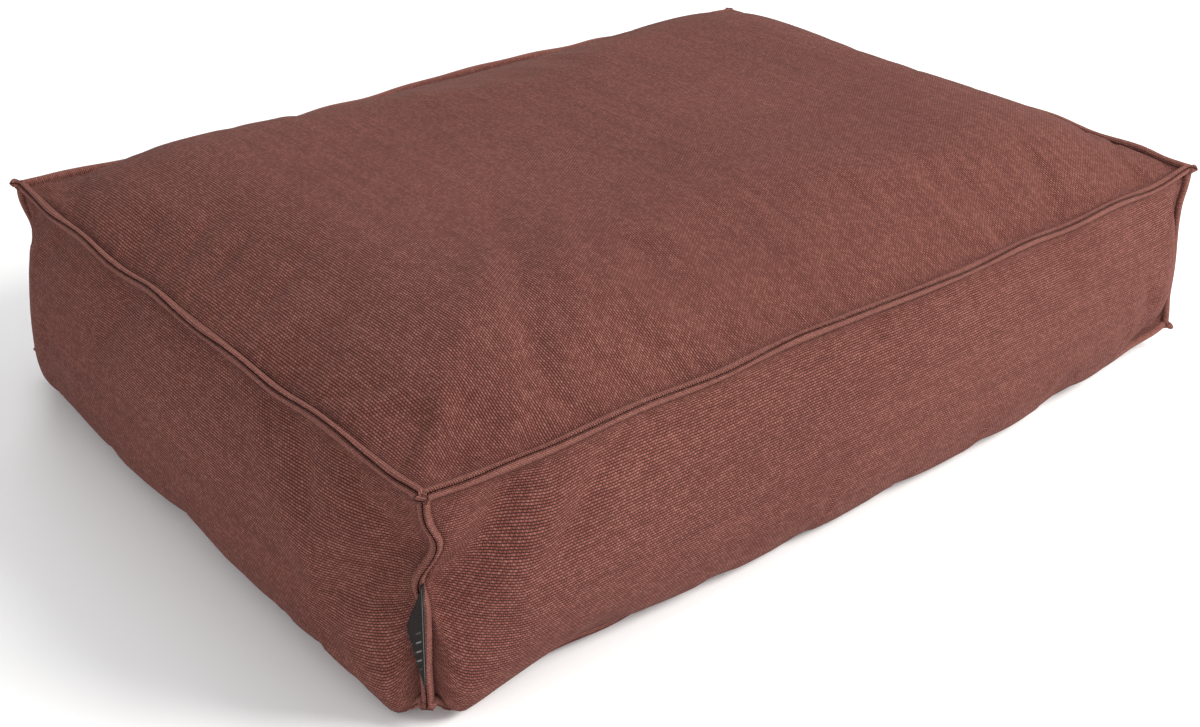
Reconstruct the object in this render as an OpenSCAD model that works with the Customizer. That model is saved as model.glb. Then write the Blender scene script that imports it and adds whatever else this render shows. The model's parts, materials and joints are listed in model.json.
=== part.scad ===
// Pet cushion bed: a boxed cover of six cloth panels with a stitched flange on every edge,
// a zip across the back, a woven side label, and a fibre-filled casing inside.
// Millimetres. +X runs along the long side, +Y to the back, +Z up; the origin is the
// middle of the footprint, on the floor.

/* [Bed] */
// Length between the tips of the corner flanges
bed_length = 800; // [700:10:1000]
// Width between the tips of the corner flanges
bed_width = 570; // [480:10:760]
// Height from the bottom seam to the top seam
seam_height = 150; // [120:5:190]
// Height of the bottom seam above the floor
seam_lift = 20; // [12:1:30]
// Rise of the filled top above its seam
crown = 44; // [20:1:60]
// Bulge of the filled sides beyond their seams
belly = 24; // [10:1:32]
// Where a side is fullest, as a share of its height
belly_height = 0.42; // [0.36:0.02:0.6]
// Distance over which the top curls down to its seam
top_roll = 190; // [120:5:220]
// Distance over which a side curls in to its corner seam
side_roll = 110; // [60:5:160]
// Distance over which the bottom curls up to its seam
floor_roll = 60; // [40:5:100]

/* [Cover cloth] */
// Thickness of the cover cloth
cloth_t = 1.6; // [1:0.1:2]
// Width of the flange that stands along each seam
flange_w = 7; // [5:0.5:10]
// Gap between the two flange leaves, which the seam thread fills
leaf_gap = 1; // [0.9:0.1:1.5]
// Thickness of the seam thread
thread_w = 0.5; // [0.3:0.05:0.55]

/* [Zip] */
// Length of the zip across the back
zip_length = 560; // [400:10:600]
// Height of the slot in the cloth that shows the zip
zip_window = 11; // [10.4:0.2:16]
// Width of each zip tape
tape_w = 13; // [10:0.5:16]
// Thickness of the zip tape
tape_t = 0.6; // [0.4:0.1:0.8]
// Width of each coil
coil_w = 2.2; // [1.8:0.1:2.6]
// Height of the coil on its tape
coil_h = 2; // [1.6:0.1:2.4]
// Gap between the two coils, which the slider's wedge runs in
coil_gap = 1.4; // [1.2:0.1:1.6]
// Length of the slider
slider_l = 14; // [12:0.5:18]
// Width of the slider
slider_w = 9.2; // [8.8:0.1:9.6]
// Length of the pull from its pivot to its tip
pull_l = 30; // [20:1:40]
// Width of the pull
pull_w = 6.4; // [6:0.2:8]

/* [Labels] */
// Height of the side label
label_h = 78; // [50:1:90]
// How far the side label stands out of its seam
label_out = 11; // [8:0.5:16]
// Thickness of the folded side label
label_t = 0.8; // [0.6:0.1:1.2]
// Height of the side label's lower end above the floor
label_low = 31; // [24:1:44]
// Width of the care label inside
care_w = 26; // [20:1:40]
// Height of the care label inside
care_h = 28; // [20:1:36]

/* [Inner cushion] */
// Clearance between the cover and the inner casing
casing_gap = 9; // [7:0.5:14]
// Thickness of the casing cloth
casing_t = 1; // [0.6:0.1:1.4]
// Corner radius of the inner casing
casing_r = 42; // [30:1:60]
// Gap between the casing and the fibre fill
fill_gap = 0.6; // [0.4:0.1:1.5]

/* [Hidden] */

canvas = [0.53, 0.33, 0.29];
canvas_thread = [0.47, 0.28, 0.25];
zip_cloth = [0.36, 0.2, 0.18];
zip_nylon = [0.3, 0.17, 0.15];
zip_metal = [0.24, 0.22, 0.22];
label_black = [0.13, 0.12, 0.12];
casing_white = [0.86, 0.85, 0.82];

half_l = bed_length / 2;
half_w = bed_width / 2;
// The flange stands at 45 degrees, so it is as wide in plan as it is tall
flange_in = flange_w / sqrt(2);
z_bottom = seam_lift;
z_top = seam_lift + seam_height;
stitch_low = z_bottom + flange_in;
stitch_high = z_top - flange_in;
roll_power = 2.5;
// The bottom cloth is drawn this much too low, and its underside is then cut flat at the floor
floor_cut = 0.05;
floor_z = leaf_gap / 2 + cloth_t - floor_cut;

// Zip: heights along Z, and depths along Y counted from the back of the cloth
zip_half = zip_length / 2;
zip_z = stitch_low + belly_height * (stitch_high - stitch_low);
zip_end_slope = 8;
zip_end_land = 4;
// The back reaches its full bulge this far before the slot ends
back_land = 2;
back_roll = half_l - flange_in - zip_half - zip_end_land - zip_end_slope - back_land;
tape_end = 10;
run_gap = 0.35;
plate_t = 1.2;
wedge_t = coil_gap - 2 * run_gap;
tape_reach = coil_gap / 2 + tape_w;
// The tape lies this far behind the cloth, and clears it where the back is least full
tape_gap = 0.5;
tape_face = half_w + side_out(half_l, zip_z - tape_reach, back_roll) + leaf_gap / 2 - tape_gap;
tape_back = tape_face - tape_t;
coil_top = tape_face + coil_h;
plate_low = coil_top + run_gap;
plate_top = plate_low + plate_t;
slider_park = 5;
slider_rest = -(zip_half - slider_park - slider_l / 2);
coil_end = 4;
stop_near = 3.5;
stop_far = 1;
stop_w = 2.4;

// Bridge on the slider, and the eye of the pull that hangs on it
pin_r = 0.7;
pin_rise = 1.2;
pull_t = 1.2;
bridge_in = 2.2;
bridge_bar = 1.1;
bridge_w = 2;
bridge_clear = 0.5;
eye_w = 3.2;
eye_l = 5.2;
pivot_y = plate_top + pin_rise;

// Side label, hinged on a bead just outside the front left corner seam
bead_r = 0.5;
bead_off = 1.1;
label_turn = 170;
label_x = -half_l - bead_off / sqrt(2);
label_y = -half_w - bead_off / sqrt(2);

// Inner casing: half sizes, and the heights of its two seams
casing_a = half_l - flange_in - casing_gap;
casing_b = half_w - flange_in - casing_gap;
casing_low = stitch_low + casing_gap;
casing_high = stitch_high - casing_gap;
casing_skin = 0.2;
casing_lift = 0.2;
casing_floor = cloth_t + casing_lift + casing_skin + casing_t;
casing_roll = 100;
casing_foot_roll = floor_roll + 25;
bead_w = 0.8;

// Numbers of steps in the cloth grids
long_steps = 26;
cross_steps = 20;
height_steps = 10;
zip_steps = 10;
end_steps = 7;
arc_steps = 4;
loop_steps = 8;
dome_steps = 8;
band_steps = 7;

// --- The shape of the filled cover ---

// Rises from 0 at the seam to 1 at distance r, fast at first and then level
function roll(d, r) = d <= 0 ? 0 : 1 - pow(1 - min(1, d / r), roll_power);

// The bulge of a side at height z: two parabolas that meet level where the side is fullest
function fullness(z, low, high) =
    let (share = (z - low) / (high - low),
         t = share < belly_height ? share / belly_height : (1 - share) / (1 - belly_height))
    t <= 0 ? 0 : 1 - pow(1 - t, 2);

// How far a side stands out beyond the plane of its flange tips, at distance d from the corner
function side_out(d, z, r) =
    belly * roll(d - flange_in, r) * fullness(z, stitch_low, stitch_high)
    - min(flange_in, d, z_top - z, z - z_bottom);

function top_point(x, y) =
    let (dx = half_l - abs(x), dy = half_w - abs(y))
    [x, y, z_top - min(flange_in, dx, dy)
        + crown * roll(dx - flange_in, top_roll) * roll(dy - flange_in, top_roll)];

function bottom_point(x, y) =
    let (dx = half_l - abs(x), dy = half_w - abs(y))
    [x, y, z_bottom + min(flange_in, dx, dy)
        - (stitch_low - floor_z) * roll(dx - flange_in, floor_roll) * roll(dy - flange_in, floor_roll)];

function front_point(x, z) = [x, -half_w - side_out(half_l - abs(x), z, side_roll), z];
function back_point(x, z) = [x, half_w + side_out(half_l - abs(x), z, back_roll), z];
function left_point(y, z) = [-half_l - side_out(half_w - abs(y), z, side_roll), y, z];

// Places across a panel: flange tip, stitch line, then steps that are closest near the seams
function across(half, steps) = concat(
    [-half],
    [for (k = [0:steps]) -(half - flange_in) * cos(180 * k / steps)],
    [half]);

function heights() = concat(
    [z_bottom],
    [for (k = [0:height_steps]) (stitch_low + stitch_high) / 2
        - (stitch_high - stitch_low) / 2 * cos(180 * k / height_steps)],
    [z_top]);

// --- Cloth ---

function unit(v) = v / norm(v);

// The normal at each point of a grid, from its neighbours; closed grids wrap round in j
function grid_normals(g, closed = false) =
    let (m = len(g) - 1, n = len(g[0]) - 1)
    [for (i = [0:m]) [for (j = [0:n])
        let (a = g[min(m, i + 1)][j] - g[max(0, i - 1)][j],
             b = closed ? g[i][(j + 1) % (n + 1)] - g[i][(j + n) % (n + 1)]
                        : g[i][min(n, j + 1)] - g[i][max(0, j - 1)])
        unit(cross(b, a))]];

function shifted(g, normals, by) =
    [for (i = [0:len(g) - 1]) [for (j = [0:len(g[0]) - 1]) g[i][j] + by * normals[i][j]]];

function flat_list(g) = [for (row = g) for (p = row) p];

// A sheet of cloth between two distances from a grid, on the side of cross(along j, along i)
module sheet(g, from, to) {
    n = grid_normals(g);
    rows = len(g);
    cols = len(g[0]);
    size = rows * cols;
    outer = [for (i = [0:rows - 2]) for (j = [0:cols - 2])
        let (a = i * cols + j, b = a + 1, c = a + cols, d = c + 1)
        each [[a, c, b], [b, c, d]]];
    inner = [for (f = outer) [f[0] + size, f[2] + size, f[1] + size]];
    rim = concat(
        [for (j = [0:cols - 2]) [j, j + 1]],
        [for (i = [0:rows - 2]) [i * cols + cols - 1, (i + 1) * cols + cols - 1]],
        [for (j = [cols - 2:-1:0]) [(rows - 1) * cols + j + 1, (rows - 1) * cols + j]],
        [for (i = [rows - 2:-1:0]) [(i + 1) * cols, i * cols]]);
    walls = [for (e = rim) each [[e[0], e[1], e[1] + size], [e[0], e[1] + size, e[0] + size]]];
    polyhedron(
        points = concat(flat_list(shifted(g, n, to)), flat_list(shifted(g, n, from))),
        faces = concat(outer, inner, walls));
}

// A cover panel: its inner face is half the leaf gap off the seam's middle surface
module cover_panel(g) {
    color(canvas) sheet(g, leaf_gap / 2, leaf_gap / 2 + cloth_t);
}

module top_panel() {
    cover_panel([for (x = across(half_l, long_steps))
        [for (y = across(half_w, cross_steps)) top_point(x, -y)]]);
}

module bottom_panel() {
    color(canvas) difference() {
        sheet([for (x = across(half_l, long_steps))
            [for (y = across(half_w, cross_steps)) bottom_point(x, y)]],
            leaf_gap / 2, leaf_gap / 2 + cloth_t);
        translate([-bed_length, -bed_width, -seam_lift])
            cube([2 * bed_length, 2 * bed_width, seam_lift]);
    }
}

module front_panel() {
    cover_panel([for (x = across(half_l, long_steps)) [for (z = heights()) front_point(x, -z + z_top + z_bottom)]]);
}

module left_panel() {
    cover_panel([for (y = across(half_w, cross_steps)) [for (z = heights()) left_point(y, z)]]);
}

module right_panel() {
    mirror([1, 0, 0]) left_panel();
}

// Half height of the zip slot at x: open along the zip, closed beyond its ends
function slot_half(x) =
    let (past = (abs(x) - zip_half - zip_end_land) / zip_end_slope)
    max(leaf_gap / 2, zip_window / 2 * (1 - max(0, min(1, past))));

// Places along the back: close together at the corners and at the slopes that end the slot
function back_places() =
    let (inner = zip_half + zip_end_land, outer = inner + zip_end_slope, stitch = half_l - flange_in,
         side = [for (k = [0:end_steps]) outer + (stitch - outer) * sin(90 * k / end_steps)])
    concat(
        [-half_l], [for (k = [end_steps:-1:0]) -side[k]],
        [for (k = [0:zip_steps]) -inner + 2 * inner * k / zip_steps],
        side, [half_l]);

function upper_heights(x) =
    let (low = zip_z + slot_half(x), steps = height_steps - 3)
    concat([for (k = [0:steps]) low + (stitch_high - low) * sin(90 * k / steps)], [z_top]);

function lower_heights(x) =
    let (high = zip_z - slot_half(x), steps = height_steps - 3)
    concat([z_bottom], [for (k = [steps:-1:0]) high - (high - stitch_low) * sin(90 * k / steps)]);

module back_panel_upper() {
    cover_panel([for (x = back_places()) [for (z = upper_heights(x)) back_point(x, z)]]);
}

module back_panel_lower() {
    cover_panel([for (x = back_places()) [for (z = lower_heights(x)) back_point(x, z)]]);
}

// --- Seam threads, which lie between the leaves of the flanges ---

// Place of the thread across the flange, counted from the tip
thread_in = 0.7 * flange_in;

module seam_ring(z) {
    color(canvas_thread) translate([0, 0, z - thread_w / 2]) linear_extrude(thread_w)
        difference() {
            square([bed_length - 2 * thread_in + thread_w, bed_width - 2 * thread_in + thread_w], center = true);
            square([bed_length - 2 * thread_in - thread_w, bed_width - 2 * thread_in - thread_w], center = true);
        }
}

module top_seam_thread() {
    seam_ring(z_top - thread_in);
}

module bottom_seam_thread() {
    seam_ring(z_bottom + thread_in);
}

module corner_seam_threads() {
    reach = 2 * flange_in;
    color(canvas_thread) for (sx = [-1, 1], sy = [-1, 1])
        translate([sx * (half_l - thread_in), sy * (half_w - thread_in), z_bottom + reach])
            rotate([0, 0, 45]) translate([-thread_w / 2, -thread_w / 2, 0])
                cube([thread_w, thread_w, seam_height - 2 * reach]);
}

// --- Zip ---

module zip_tape(side) {
    low = side > 0 ? coil_gap / 2 : -tape_reach;
    color(zip_cloth) translate([-zip_half - tape_end, tape_back, zip_z + low])
        cube([zip_length + 2 * tape_end, tape_t, tape_w]);
}

module zip_tape_upper() {
    zip_tape(1);
}

module zip_tape_lower() {
    zip_tape(-1);
}

// A coil, flat where it is sewn to the tape and round outside
module zip_coil(side) {
    length = zip_length - 2 * coil_end;
    round_r = coil_w / 2;
    middle = side * (coil_gap + coil_w) / 2;
    color(zip_nylon) translate([-length / 2, tape_face, zip_z + middle]) {
        translate([0, 0, -round_r]) cube([length, coil_h - round_r, coil_w]);
        intersection() {
            translate([0, coil_h - round_r, 0]) rotate([0, 90, 0])
                cylinder(r = round_r, h = length, $fn = 32);
            translate([0, coil_h - round_r, -round_r]) cube([length, round_r, coil_w]);
        }
    }
}

module zip_coil_upper() {
    zip_coil(1);
}

module zip_coil_lower() {
    zip_coil(-1);
}

module zip_top_stops() {
    color(zip_metal) for (side = [-1, 1])
        translate([-zip_half + stop_far, tape_face, zip_z + side * (coil_gap + stop_w) / 2 - stop_w / 2])
            cube([stop_near - stop_far, coil_h, stop_w]);
}

module zip_bottom_stop() {
    width = coil_gap + 2 * stop_w;
    color(zip_metal) translate([zip_half - stop_near, tape_face, zip_z - width / 2])
        cube([stop_near - stop_far, coil_h, width]);
}

// The two rows that hold the folded cloth to the tapes, each a thread's thickness off the cloth
module zip_stitching() {
    row_in = 2.5;
    thread_r = 0.35;
    thread_lift = 0.15;
    color(canvas_thread) for (side = [-1, 1]) {
        z = zip_z + side * (zip_window / 2 + row_in);
        y = half_w + side_out(half_l, z, back_roll) + leaf_gap / 2 + cloth_t + thread_r + thread_lift;
        translate([-zip_half, y, z]) rotate([0, 90, 0]) cylinder(r = thread_r, h = zip_length, $fn = 24);
    }
}

// A short block of stitches across each end of the slot
module zip_bar_tacks() {
    tack_l = 2;
    tack_t = 0.6;
    tack_lift = 0.1;
    y = half_w + side_out(half_l, zip_z, back_roll) + leaf_gap / 2 + cloth_t + tack_lift;
    tack_x = zip_half + zip_end_land + zip_end_slope + tack_l;
    color(canvas_thread) for (side = [-1, 1])
        translate([side * tack_x - tack_l / 2, y, zip_z - zip_window / 2])
            cube([tack_l, tack_t, zip_window]);
}

// A plate of the slider, with rounded ends, its inner face at y
module slider_plate(y) {
    corner = 2.5;
    translate([slider_rest, y + plate_t, zip_z]) rotate([90, 0, 0]) linear_extrude(plate_t)
        union() {
            square([slider_l - 2 * corner, slider_w], center = true);
            square([slider_l, slider_w - 2 * corner], center = true);
            for (sx = [-1, 1], sy = [-1, 1])
                translate([sx * (slider_l / 2 - corner), sy * (slider_w / 2 - corner)])
                    circle(corner, $fn = 32);
        }
}

module zip_slider() {
    bridge_l = 2 * (bridge_in + bridge_bar);
    bridge_h = pin_rise + pin_r + bridge_clear + bridge_bar;
    color(zip_metal) {
        slider_plate(plate_low);
        slider_plate(tape_back - run_gap - plate_t);
        translate([slider_rest - slider_l / 4, tape_back - run_gap - plate_t / 2, zip_z - wedge_t / 2])
            cube([slider_l / 2, plate_low - tape_back + run_gap + plate_t, wedge_t]);
        translate([slider_rest, plate_top, zip_z]) difference() {
            translate([-bridge_l / 2, -plate_t / 2, -bridge_w / 2])
                cube([bridge_l, bridge_h + plate_t / 2, bridge_w]);
            translate([-bridge_in, 0, -bridge_w])
                cube([2 * bridge_in, bridge_h - bridge_bar, 2 * bridge_w]);
        }
    }
}

// The pull: a flat tab with an eye round the bridge, a pin that lies under the bridge, and a hole
module zip_pull() {
    hole_r = 1.5;
    tip_r = pull_w / 2;
    color(zip_metal) translate([slider_rest, pivot_y, zip_z]) {
        difference() {
            translate([0, pull_t / 2, 0]) rotate([90, 0, 0]) linear_extrude(pull_t)
                union() {
                    translate([0, -pull_w / 2]) square([pull_l - tip_r, pull_w]);
                    translate([pull_l - tip_r, 0]) circle(tip_r, $fn = 48);
                }
            translate([-1, -pull_t, -eye_w / 2]) cube([eye_l + 1, 2 * pull_t, eye_w]);
            translate([pull_l - tip_r, pull_t, 0]) rotate([90, 0, 0])
                cylinder(r = hole_r, h = 2 * pull_t, $fn = 32);
        }
        translate([0, 0, -pull_w / 2]) cylinder(r = pin_r, h = pull_w, $fn = 32);
    }
}

// --- Labels ---

// Its outline, as shares of how far it stands out and of its height
label_outline = [[0, 0], [0.3, 0.12], [0.95, 0.6], [1, 0.68], [0.45, 0.86], [0, 1]];

module side_label() {
    color(label_black) translate([label_x, label_y, label_low]) {
        cylinder(r = bead_r, h = label_h, $fn = 32);
        rotate([0, 0, label_turn]) translate([0, label_t / 2, 0]) rotate([90, 0, 0])
            linear_extrude(label_t)
                polygon([for (p = label_outline) [label_out * p[0], label_h * p[1]]]);
    }
}

// The care label lies behind the cloth, above the zip
module care_label() {
    care_t = 0.4;
    behind = -3;
    over_tape = 3;
    label_lift = tape_reach + over_tape;
    steps = 4;
    color(casing_white) sheet(
        [for (x = [-care_w / 2, care_w / 2])
            [for (k = [0:steps]) back_point(x, zip_z + label_lift + care_h * k / steps)]],
        behind, behind + care_t);
}

// --- Inner cushion ---

// Places round a rectangle with round corners: [x, y, outward x, outward y, share of the bulge]
function loop_corner(a, b, r, q) =
    [for (k = [0:arc_steps])
        let (t = 90 * (q + k / arc_steps))
        [(q == 0 || q == 3 ? 1 : -1) * (a - r) + r * cos(t),
         (q < 2 ? 1 : -1) * (b - r) + r * sin(t), cos(t), sin(t), 0]];

function loop_side(from, to) =
    let (length = norm([to[0] - from[0], to[1] - from[1]]))
    [for (k = [1:loop_steps - 1])
        let (t = (1 - cos(180 * k / loop_steps)) / 2)
        [from[0] + t * (to[0] - from[0]), from[1] + t * (to[1] - from[1]), from[2], from[3],
         roll(length * min(t, 1 - t), casing_roll)]];

function loop(a, b, r) =
    let (corners = [for (q = [0:3]) loop_corner(a, b, r, q)])
    [for (q = [0:3]) each concat(corners[q], loop_side(corners[q][arc_steps], corners[(q + 1) % 4][0]))];

// The casing's shape, moved in by inset: the band between the seams, and the two domes
function band_rows(inset) =
    let (ring = loop(casing_a - inset, casing_b - inset, casing_r - inset),
         low = casing_low + inset, high = casing_high - inset)
    [for (k = [0:band_steps])
        let (z = (low + high) / 2 - (high - low) / 2 * cos(180 * k / band_steps))
        [for (p = ring)
            let (out = belly * p[4] * fullness(z, low, high))
            [p[0] + out * p[2], p[1] + out * p[3], z]]];

function dome_rows(inset, z_edge, rise, r) =
    let (ring = loop(casing_a - inset, casing_b - inset, casing_r - inset))
    [for (k = [0:dome_steps - 1])
        let (s = cos(90 * k / dome_steps), z = z_edge + rise * roll((1 - s) * casing_b, r))
        [for (p = ring) [p[0] * s, p[1] * s, z]]];

function ring_faces(rows, cols, at) =
    [for (i = [0:rows - 2]) for (j = [0:cols - 1])
        let (a = at + i * cols + j, b = at + i * cols + (j + 1) % cols, c = a + cols, d = b + cols)
        each [[a, c, b], [b, c, d]]];

function turned(faces) = [for (f = faces) [f[0], f[2], f[1]]];

// The band of the casing: two closed walls and the rims between them
module casing_band() {
    g = band_rows(0);
    n = grid_normals(g, true);
    rows = len(g);
    cols = len(g[0]);
    size = rows * cols;
    last = (rows - 1) * cols;
    rims = [for (j = [0:cols - 1])
        let (k = (j + 1) % cols)
        each [[j, k, k + size], [j, k + size, j + size],
              [last + k, last + j, last + j + size], [last + k, last + j + size, last + k + size]]];
    color(casing_white) polyhedron(
        points = concat(flat_list(shifted(g, n, casing_skin + casing_t)), flat_list(shifted(g, n, casing_skin))),
        faces = concat(ring_faces(rows, cols, 0), turned(ring_faces(rows, cols, size)), rims));
}

// A dome of the casing: rings that close on a middle point, with a rim at the seam
module casing_dome(g, middle, side) {
    n = [for (row = grid_normals(g, true)) [for (v = row) side * v]];
    rows = len(g);
    cols = len(g[0]);
    size = rows * cols;
    last = (rows - 1) * cols;
    up = [0, 0, side];
    skin = ring_faces(rows, cols, 0);
    cap = [for (j = [0:cols - 1]) [last + j, 2 * size, last + (j + 1) % cols]];
    back_cap = [for (j = [0:cols - 1]) [last + j + size, last + (j + 1) % cols + size, 2 * size + 1]];
    rim = [for (j = [0:cols - 1])
        let (k = (j + 1) % cols)
        each [[j, k, k + size], [j, k + size, j + size]]];
    faces = concat(skin, turned([for (f = skin) [f[0] + size, f[1] + size, f[2] + size]]), cap, back_cap, rim);
    color(casing_white) polyhedron(
        points = concat(
            flat_list(shifted(g, n, casing_skin + casing_t)), flat_list(shifted(g, n, casing_skin)),
            [middle + (casing_skin + casing_t) * up, middle + casing_skin * up]),
        faces = side > 0 ? faces : turned(faces));
}

module casing_top() {
    casing_dome(dome_rows(0, casing_high, crown, top_roll), [0, 0, casing_high + crown * roll(casing_b, top_roll)], 1);
}

module casing_bottom() {
    drop = casing_low - casing_floor;
    casing_dome(dome_rows(0, casing_low, -drop, casing_foot_roll), [0, 0, casing_floor], -1);
}

// A thread that runs round each edge of the casing, just outside its seam
module casing_seam_threads() {
    off = casing_skin + casing_t + bead_w;
    ring = loop(casing_a, casing_b, casing_r);
    sides = 4;
    for (end = [-1, 1]) {
        z = end > 0 ? casing_high : casing_low;
        rows = [for (k = [0:sides - 1])
            let (out = off + bead_w / 2 * cos(90 * k), rise = end * off / 2 + bead_w / 2 * sin(90 * k))
            [for (p = ring) [p[0] + out * p[2], p[1] + out * p[3], z + rise]]];
        cols = len(ring);
        faces = [for (i = [0:sides - 1]) for (j = [0:cols - 1])
            let (a = i * cols + j, b = i * cols + (j + 1) % cols,
                 c = ((i + 1) % sides) * cols + j, d = ((i + 1) % sides) * cols + (j + 1) % cols)
            each [[a, c, b], [b, c, d]]];
        color(casing_white) polyhedron(points = flat_list(rows), faces = faces);
    }
}

// The fibre fill: one closed body that follows the casing inside
module fibre_fill() {
    inset = fill_gap;
    low_rows = dome_rows(inset, casing_low + inset, -(casing_low - casing_floor), casing_foot_roll);
    high_rows = dome_rows(inset, casing_high - inset, crown, top_roll);
    band = band_rows(inset);
    rows = concat(
        [for (k = [dome_steps - 1:-1:1]) low_rows[k]], band, [for (k = [1:dome_steps - 1]) high_rows[k]]);
    cols = len(rows[0]);
    count = len(rows) * cols;
    last = count - cols;
    low_mid = [0, 0, casing_floor + inset];
    high_mid = [0, 0, casing_high - inset + crown * roll(casing_b, top_roll)];
    caps = [for (j = [0:cols - 1])
        let (k = (j + 1) % cols)
        each [[j, k, count], [last + k, last + j, count + 1]]];
    color("white") polyhedron(
        points = concat(flat_list(rows), [low_mid, high_mid]),
        faces = concat(ring_faces(len(rows), cols, 0), caps));
}

top_panel();
front_panel();
left_panel();
right_panel();
back_panel_upper();
back_panel_lower();
bottom_panel();
top_seam_thread();
bottom_seam_thread();
corner_seam_threads();
zip_tape_upper();
zip_tape_lower();
zip_coil_upper();
zip_coil_lower();
zip_top_stops();
zip_bottom_stop();
zip_stitching();
zip_bar_tacks();
zip_slider();
zip_pull();
side_label();
care_label();
casing_top();
casing_band();
casing_bottom();
casing_seam_threads();
fibre_fill();
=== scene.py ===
"""The looks of a pet cushion bed: a boxed cover of woven canvas with a stitched flange on
every edge, a zip across the back, a side label, and a filled casing inside."""

import json
import math

import bpy
import numpy as np
from mathutils import Matrix, Vector


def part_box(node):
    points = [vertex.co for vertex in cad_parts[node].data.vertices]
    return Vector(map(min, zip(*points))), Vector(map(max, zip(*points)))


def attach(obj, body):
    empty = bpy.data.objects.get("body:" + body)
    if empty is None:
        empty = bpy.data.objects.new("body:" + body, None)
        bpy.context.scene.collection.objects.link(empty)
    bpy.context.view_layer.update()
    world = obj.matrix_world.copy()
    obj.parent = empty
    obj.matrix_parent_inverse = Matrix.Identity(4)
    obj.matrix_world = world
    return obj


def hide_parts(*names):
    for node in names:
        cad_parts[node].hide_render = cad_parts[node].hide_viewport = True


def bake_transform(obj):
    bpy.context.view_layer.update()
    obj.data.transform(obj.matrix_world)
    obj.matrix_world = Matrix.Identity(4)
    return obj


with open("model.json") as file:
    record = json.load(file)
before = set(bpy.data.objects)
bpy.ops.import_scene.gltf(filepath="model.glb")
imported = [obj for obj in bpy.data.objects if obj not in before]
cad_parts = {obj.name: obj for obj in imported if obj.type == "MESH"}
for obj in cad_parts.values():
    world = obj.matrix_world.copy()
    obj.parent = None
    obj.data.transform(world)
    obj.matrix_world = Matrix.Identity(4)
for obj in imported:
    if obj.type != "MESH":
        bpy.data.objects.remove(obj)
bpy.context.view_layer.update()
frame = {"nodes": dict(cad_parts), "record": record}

# ---------------------------------------------------------------- sizes, in metres

FLANGE_W = 0.007
FLANGE_IN = FLANGE_W / math.sqrt(2)
CLOTH_T = 0.0012
GRID_STEP = 0.004
SIM_STEP = 0.008
TOP_ROLL = 0.15
FLOOR_ROLL = 0.06
ROLL_POWER = 2.5
# Distance over which the foot of a side rolls out from each corner, by the signs of x and y
FOOT_ROLL = {(-1, -1): 0.022, (1, -1): 0.15, (-1, 1): 0.045, (1, 1): 0.06}
# Where a foot has rolled out less: direction the side runs in, sign of the other one, place,
# half width and share
FOOT_DENTS = ((0, -1, -0.30, 0.09, 0.27), (0, -1, -0.385, 0.04, -0.04), (0, -1, 0.27, 0.08, 0.18),
              (0, -1, 0.36, 0.05, 0.38), (1, -1, 0.20, 0.07, 0.18), (1, -1, -0.265, 0.05, -0.03))
FLOOR_GAP = 0.0003
# How far the stray of a seam and the shift of a corner carry into a face
SEAM_REACH = 0.06
CORNER_REACH = 0.12
STITCH_PITCH = 0.0042
STITCH_L = 0.0031
THREAD_R = 0.00034


def low(node):
    """The lowest corner of a node's box."""
    return np.array(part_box(node)[0])


def high(node):
    """The highest corner of a node's box."""
    return np.array(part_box(node)[1])


TIP_L, TIP_W = high("top_panel")[:2]
SEAM_LOW, SEAM_HIGH = low("front_panel")[2], high("front_panel")[2]
STITCH_LOW = SEAM_LOW + FLANGE_IN
STITCH_HIGH = SEAM_HIGH - FLANGE_IN
HALF_L, HALF_W = TIP_L - FLANGE_IN, TIP_W - FLANGE_IN
HALF_H = (STITCH_HIGH - STITCH_LOW) / 2
MID_Z = (STITCH_HIGH + STITCH_LOW) / 2
CROWN = high("top_panel")[2] - STITCH_HIGH
# Distance out and height of a side's cloth, at even steps from its bottom to its top seam
SIDE_SECTION = np.array((
    (0.001, 0.0100), (0.0125, 0.0030), (0.0225, 0.0140), (0.0262, 0.0330), (0.0262, 0.0530),
    (0.0250, 0.0730), (0.0226, 0.0930), (0.0188, 0.1130), (0.0132, 0.1325), (0.0065, 0.1505),
    (0.0, STITCH_HIGH)))
SIDE_CUT = np.linalg.norm(np.diff(SIDE_SECTION, axis=0), axis=1).sum()
# Share of the way up a side over which its roll changes from its foot's to its own
FOOT_SHARE = 0.55
ZIP_Z = (low("zip_tape_upper")[2] + high("zip_tape_lower")[2]) / 2
ZIP_HALF = high("zip_stitching")[0]
ZIP_WINDOW = high("zip_bar_tacks")[2] - low("zip_bar_tacks")[2]
# The slot runs open this far past the zip, then closes over the slope to the gap
ZIP_LAND = 0.004
ZIP_SLOPE = 0.008
SLOT_GAP = 0.00015
BACK_ROLL = HALF_L - ZIP_HALF - ZIP_LAND - ZIP_SLOPE - 0.002

# ---------------------------------------------------------------- shape of the filled cover


def roll(d, reach):
    """0 at the seam, rising fast and then levelling at 1 at the given distance:
    one minus the ROLL_POWER-th power of what is left of the way."""
    return 1 - (1 - np.clip(d / reach, 0, 1)) ** ROLL_POWER


def smooth(t):
    """0 to 1 with level ends: 3t^2 - 2t^3 of t held between 0 and 1."""
    t = np.clip(t, 0, 1)
    return t * t * (3 - 2 * t)


def crown_out(u, v, face):
    """The top: rolls up from all four seams to the crown."""
    du, dv = face["hu"] - abs(u), face["hv"] - abs(v)
    return np.zeros(np.shape(u)), CROWN * roll(du, TOP_ROLL) * roll(dv, TOP_ROLL)


def floor_out(u, v, face):
    """The bottom: rolls down from its seams to the floor."""
    du, dv = face["hu"] - abs(u), face["hv"] - abs(v)
    return np.zeros(np.shape(u)), STITCH_LOW * roll(du, FLOOR_ROLL) * roll(dv, FLOOR_ROLL)


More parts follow.
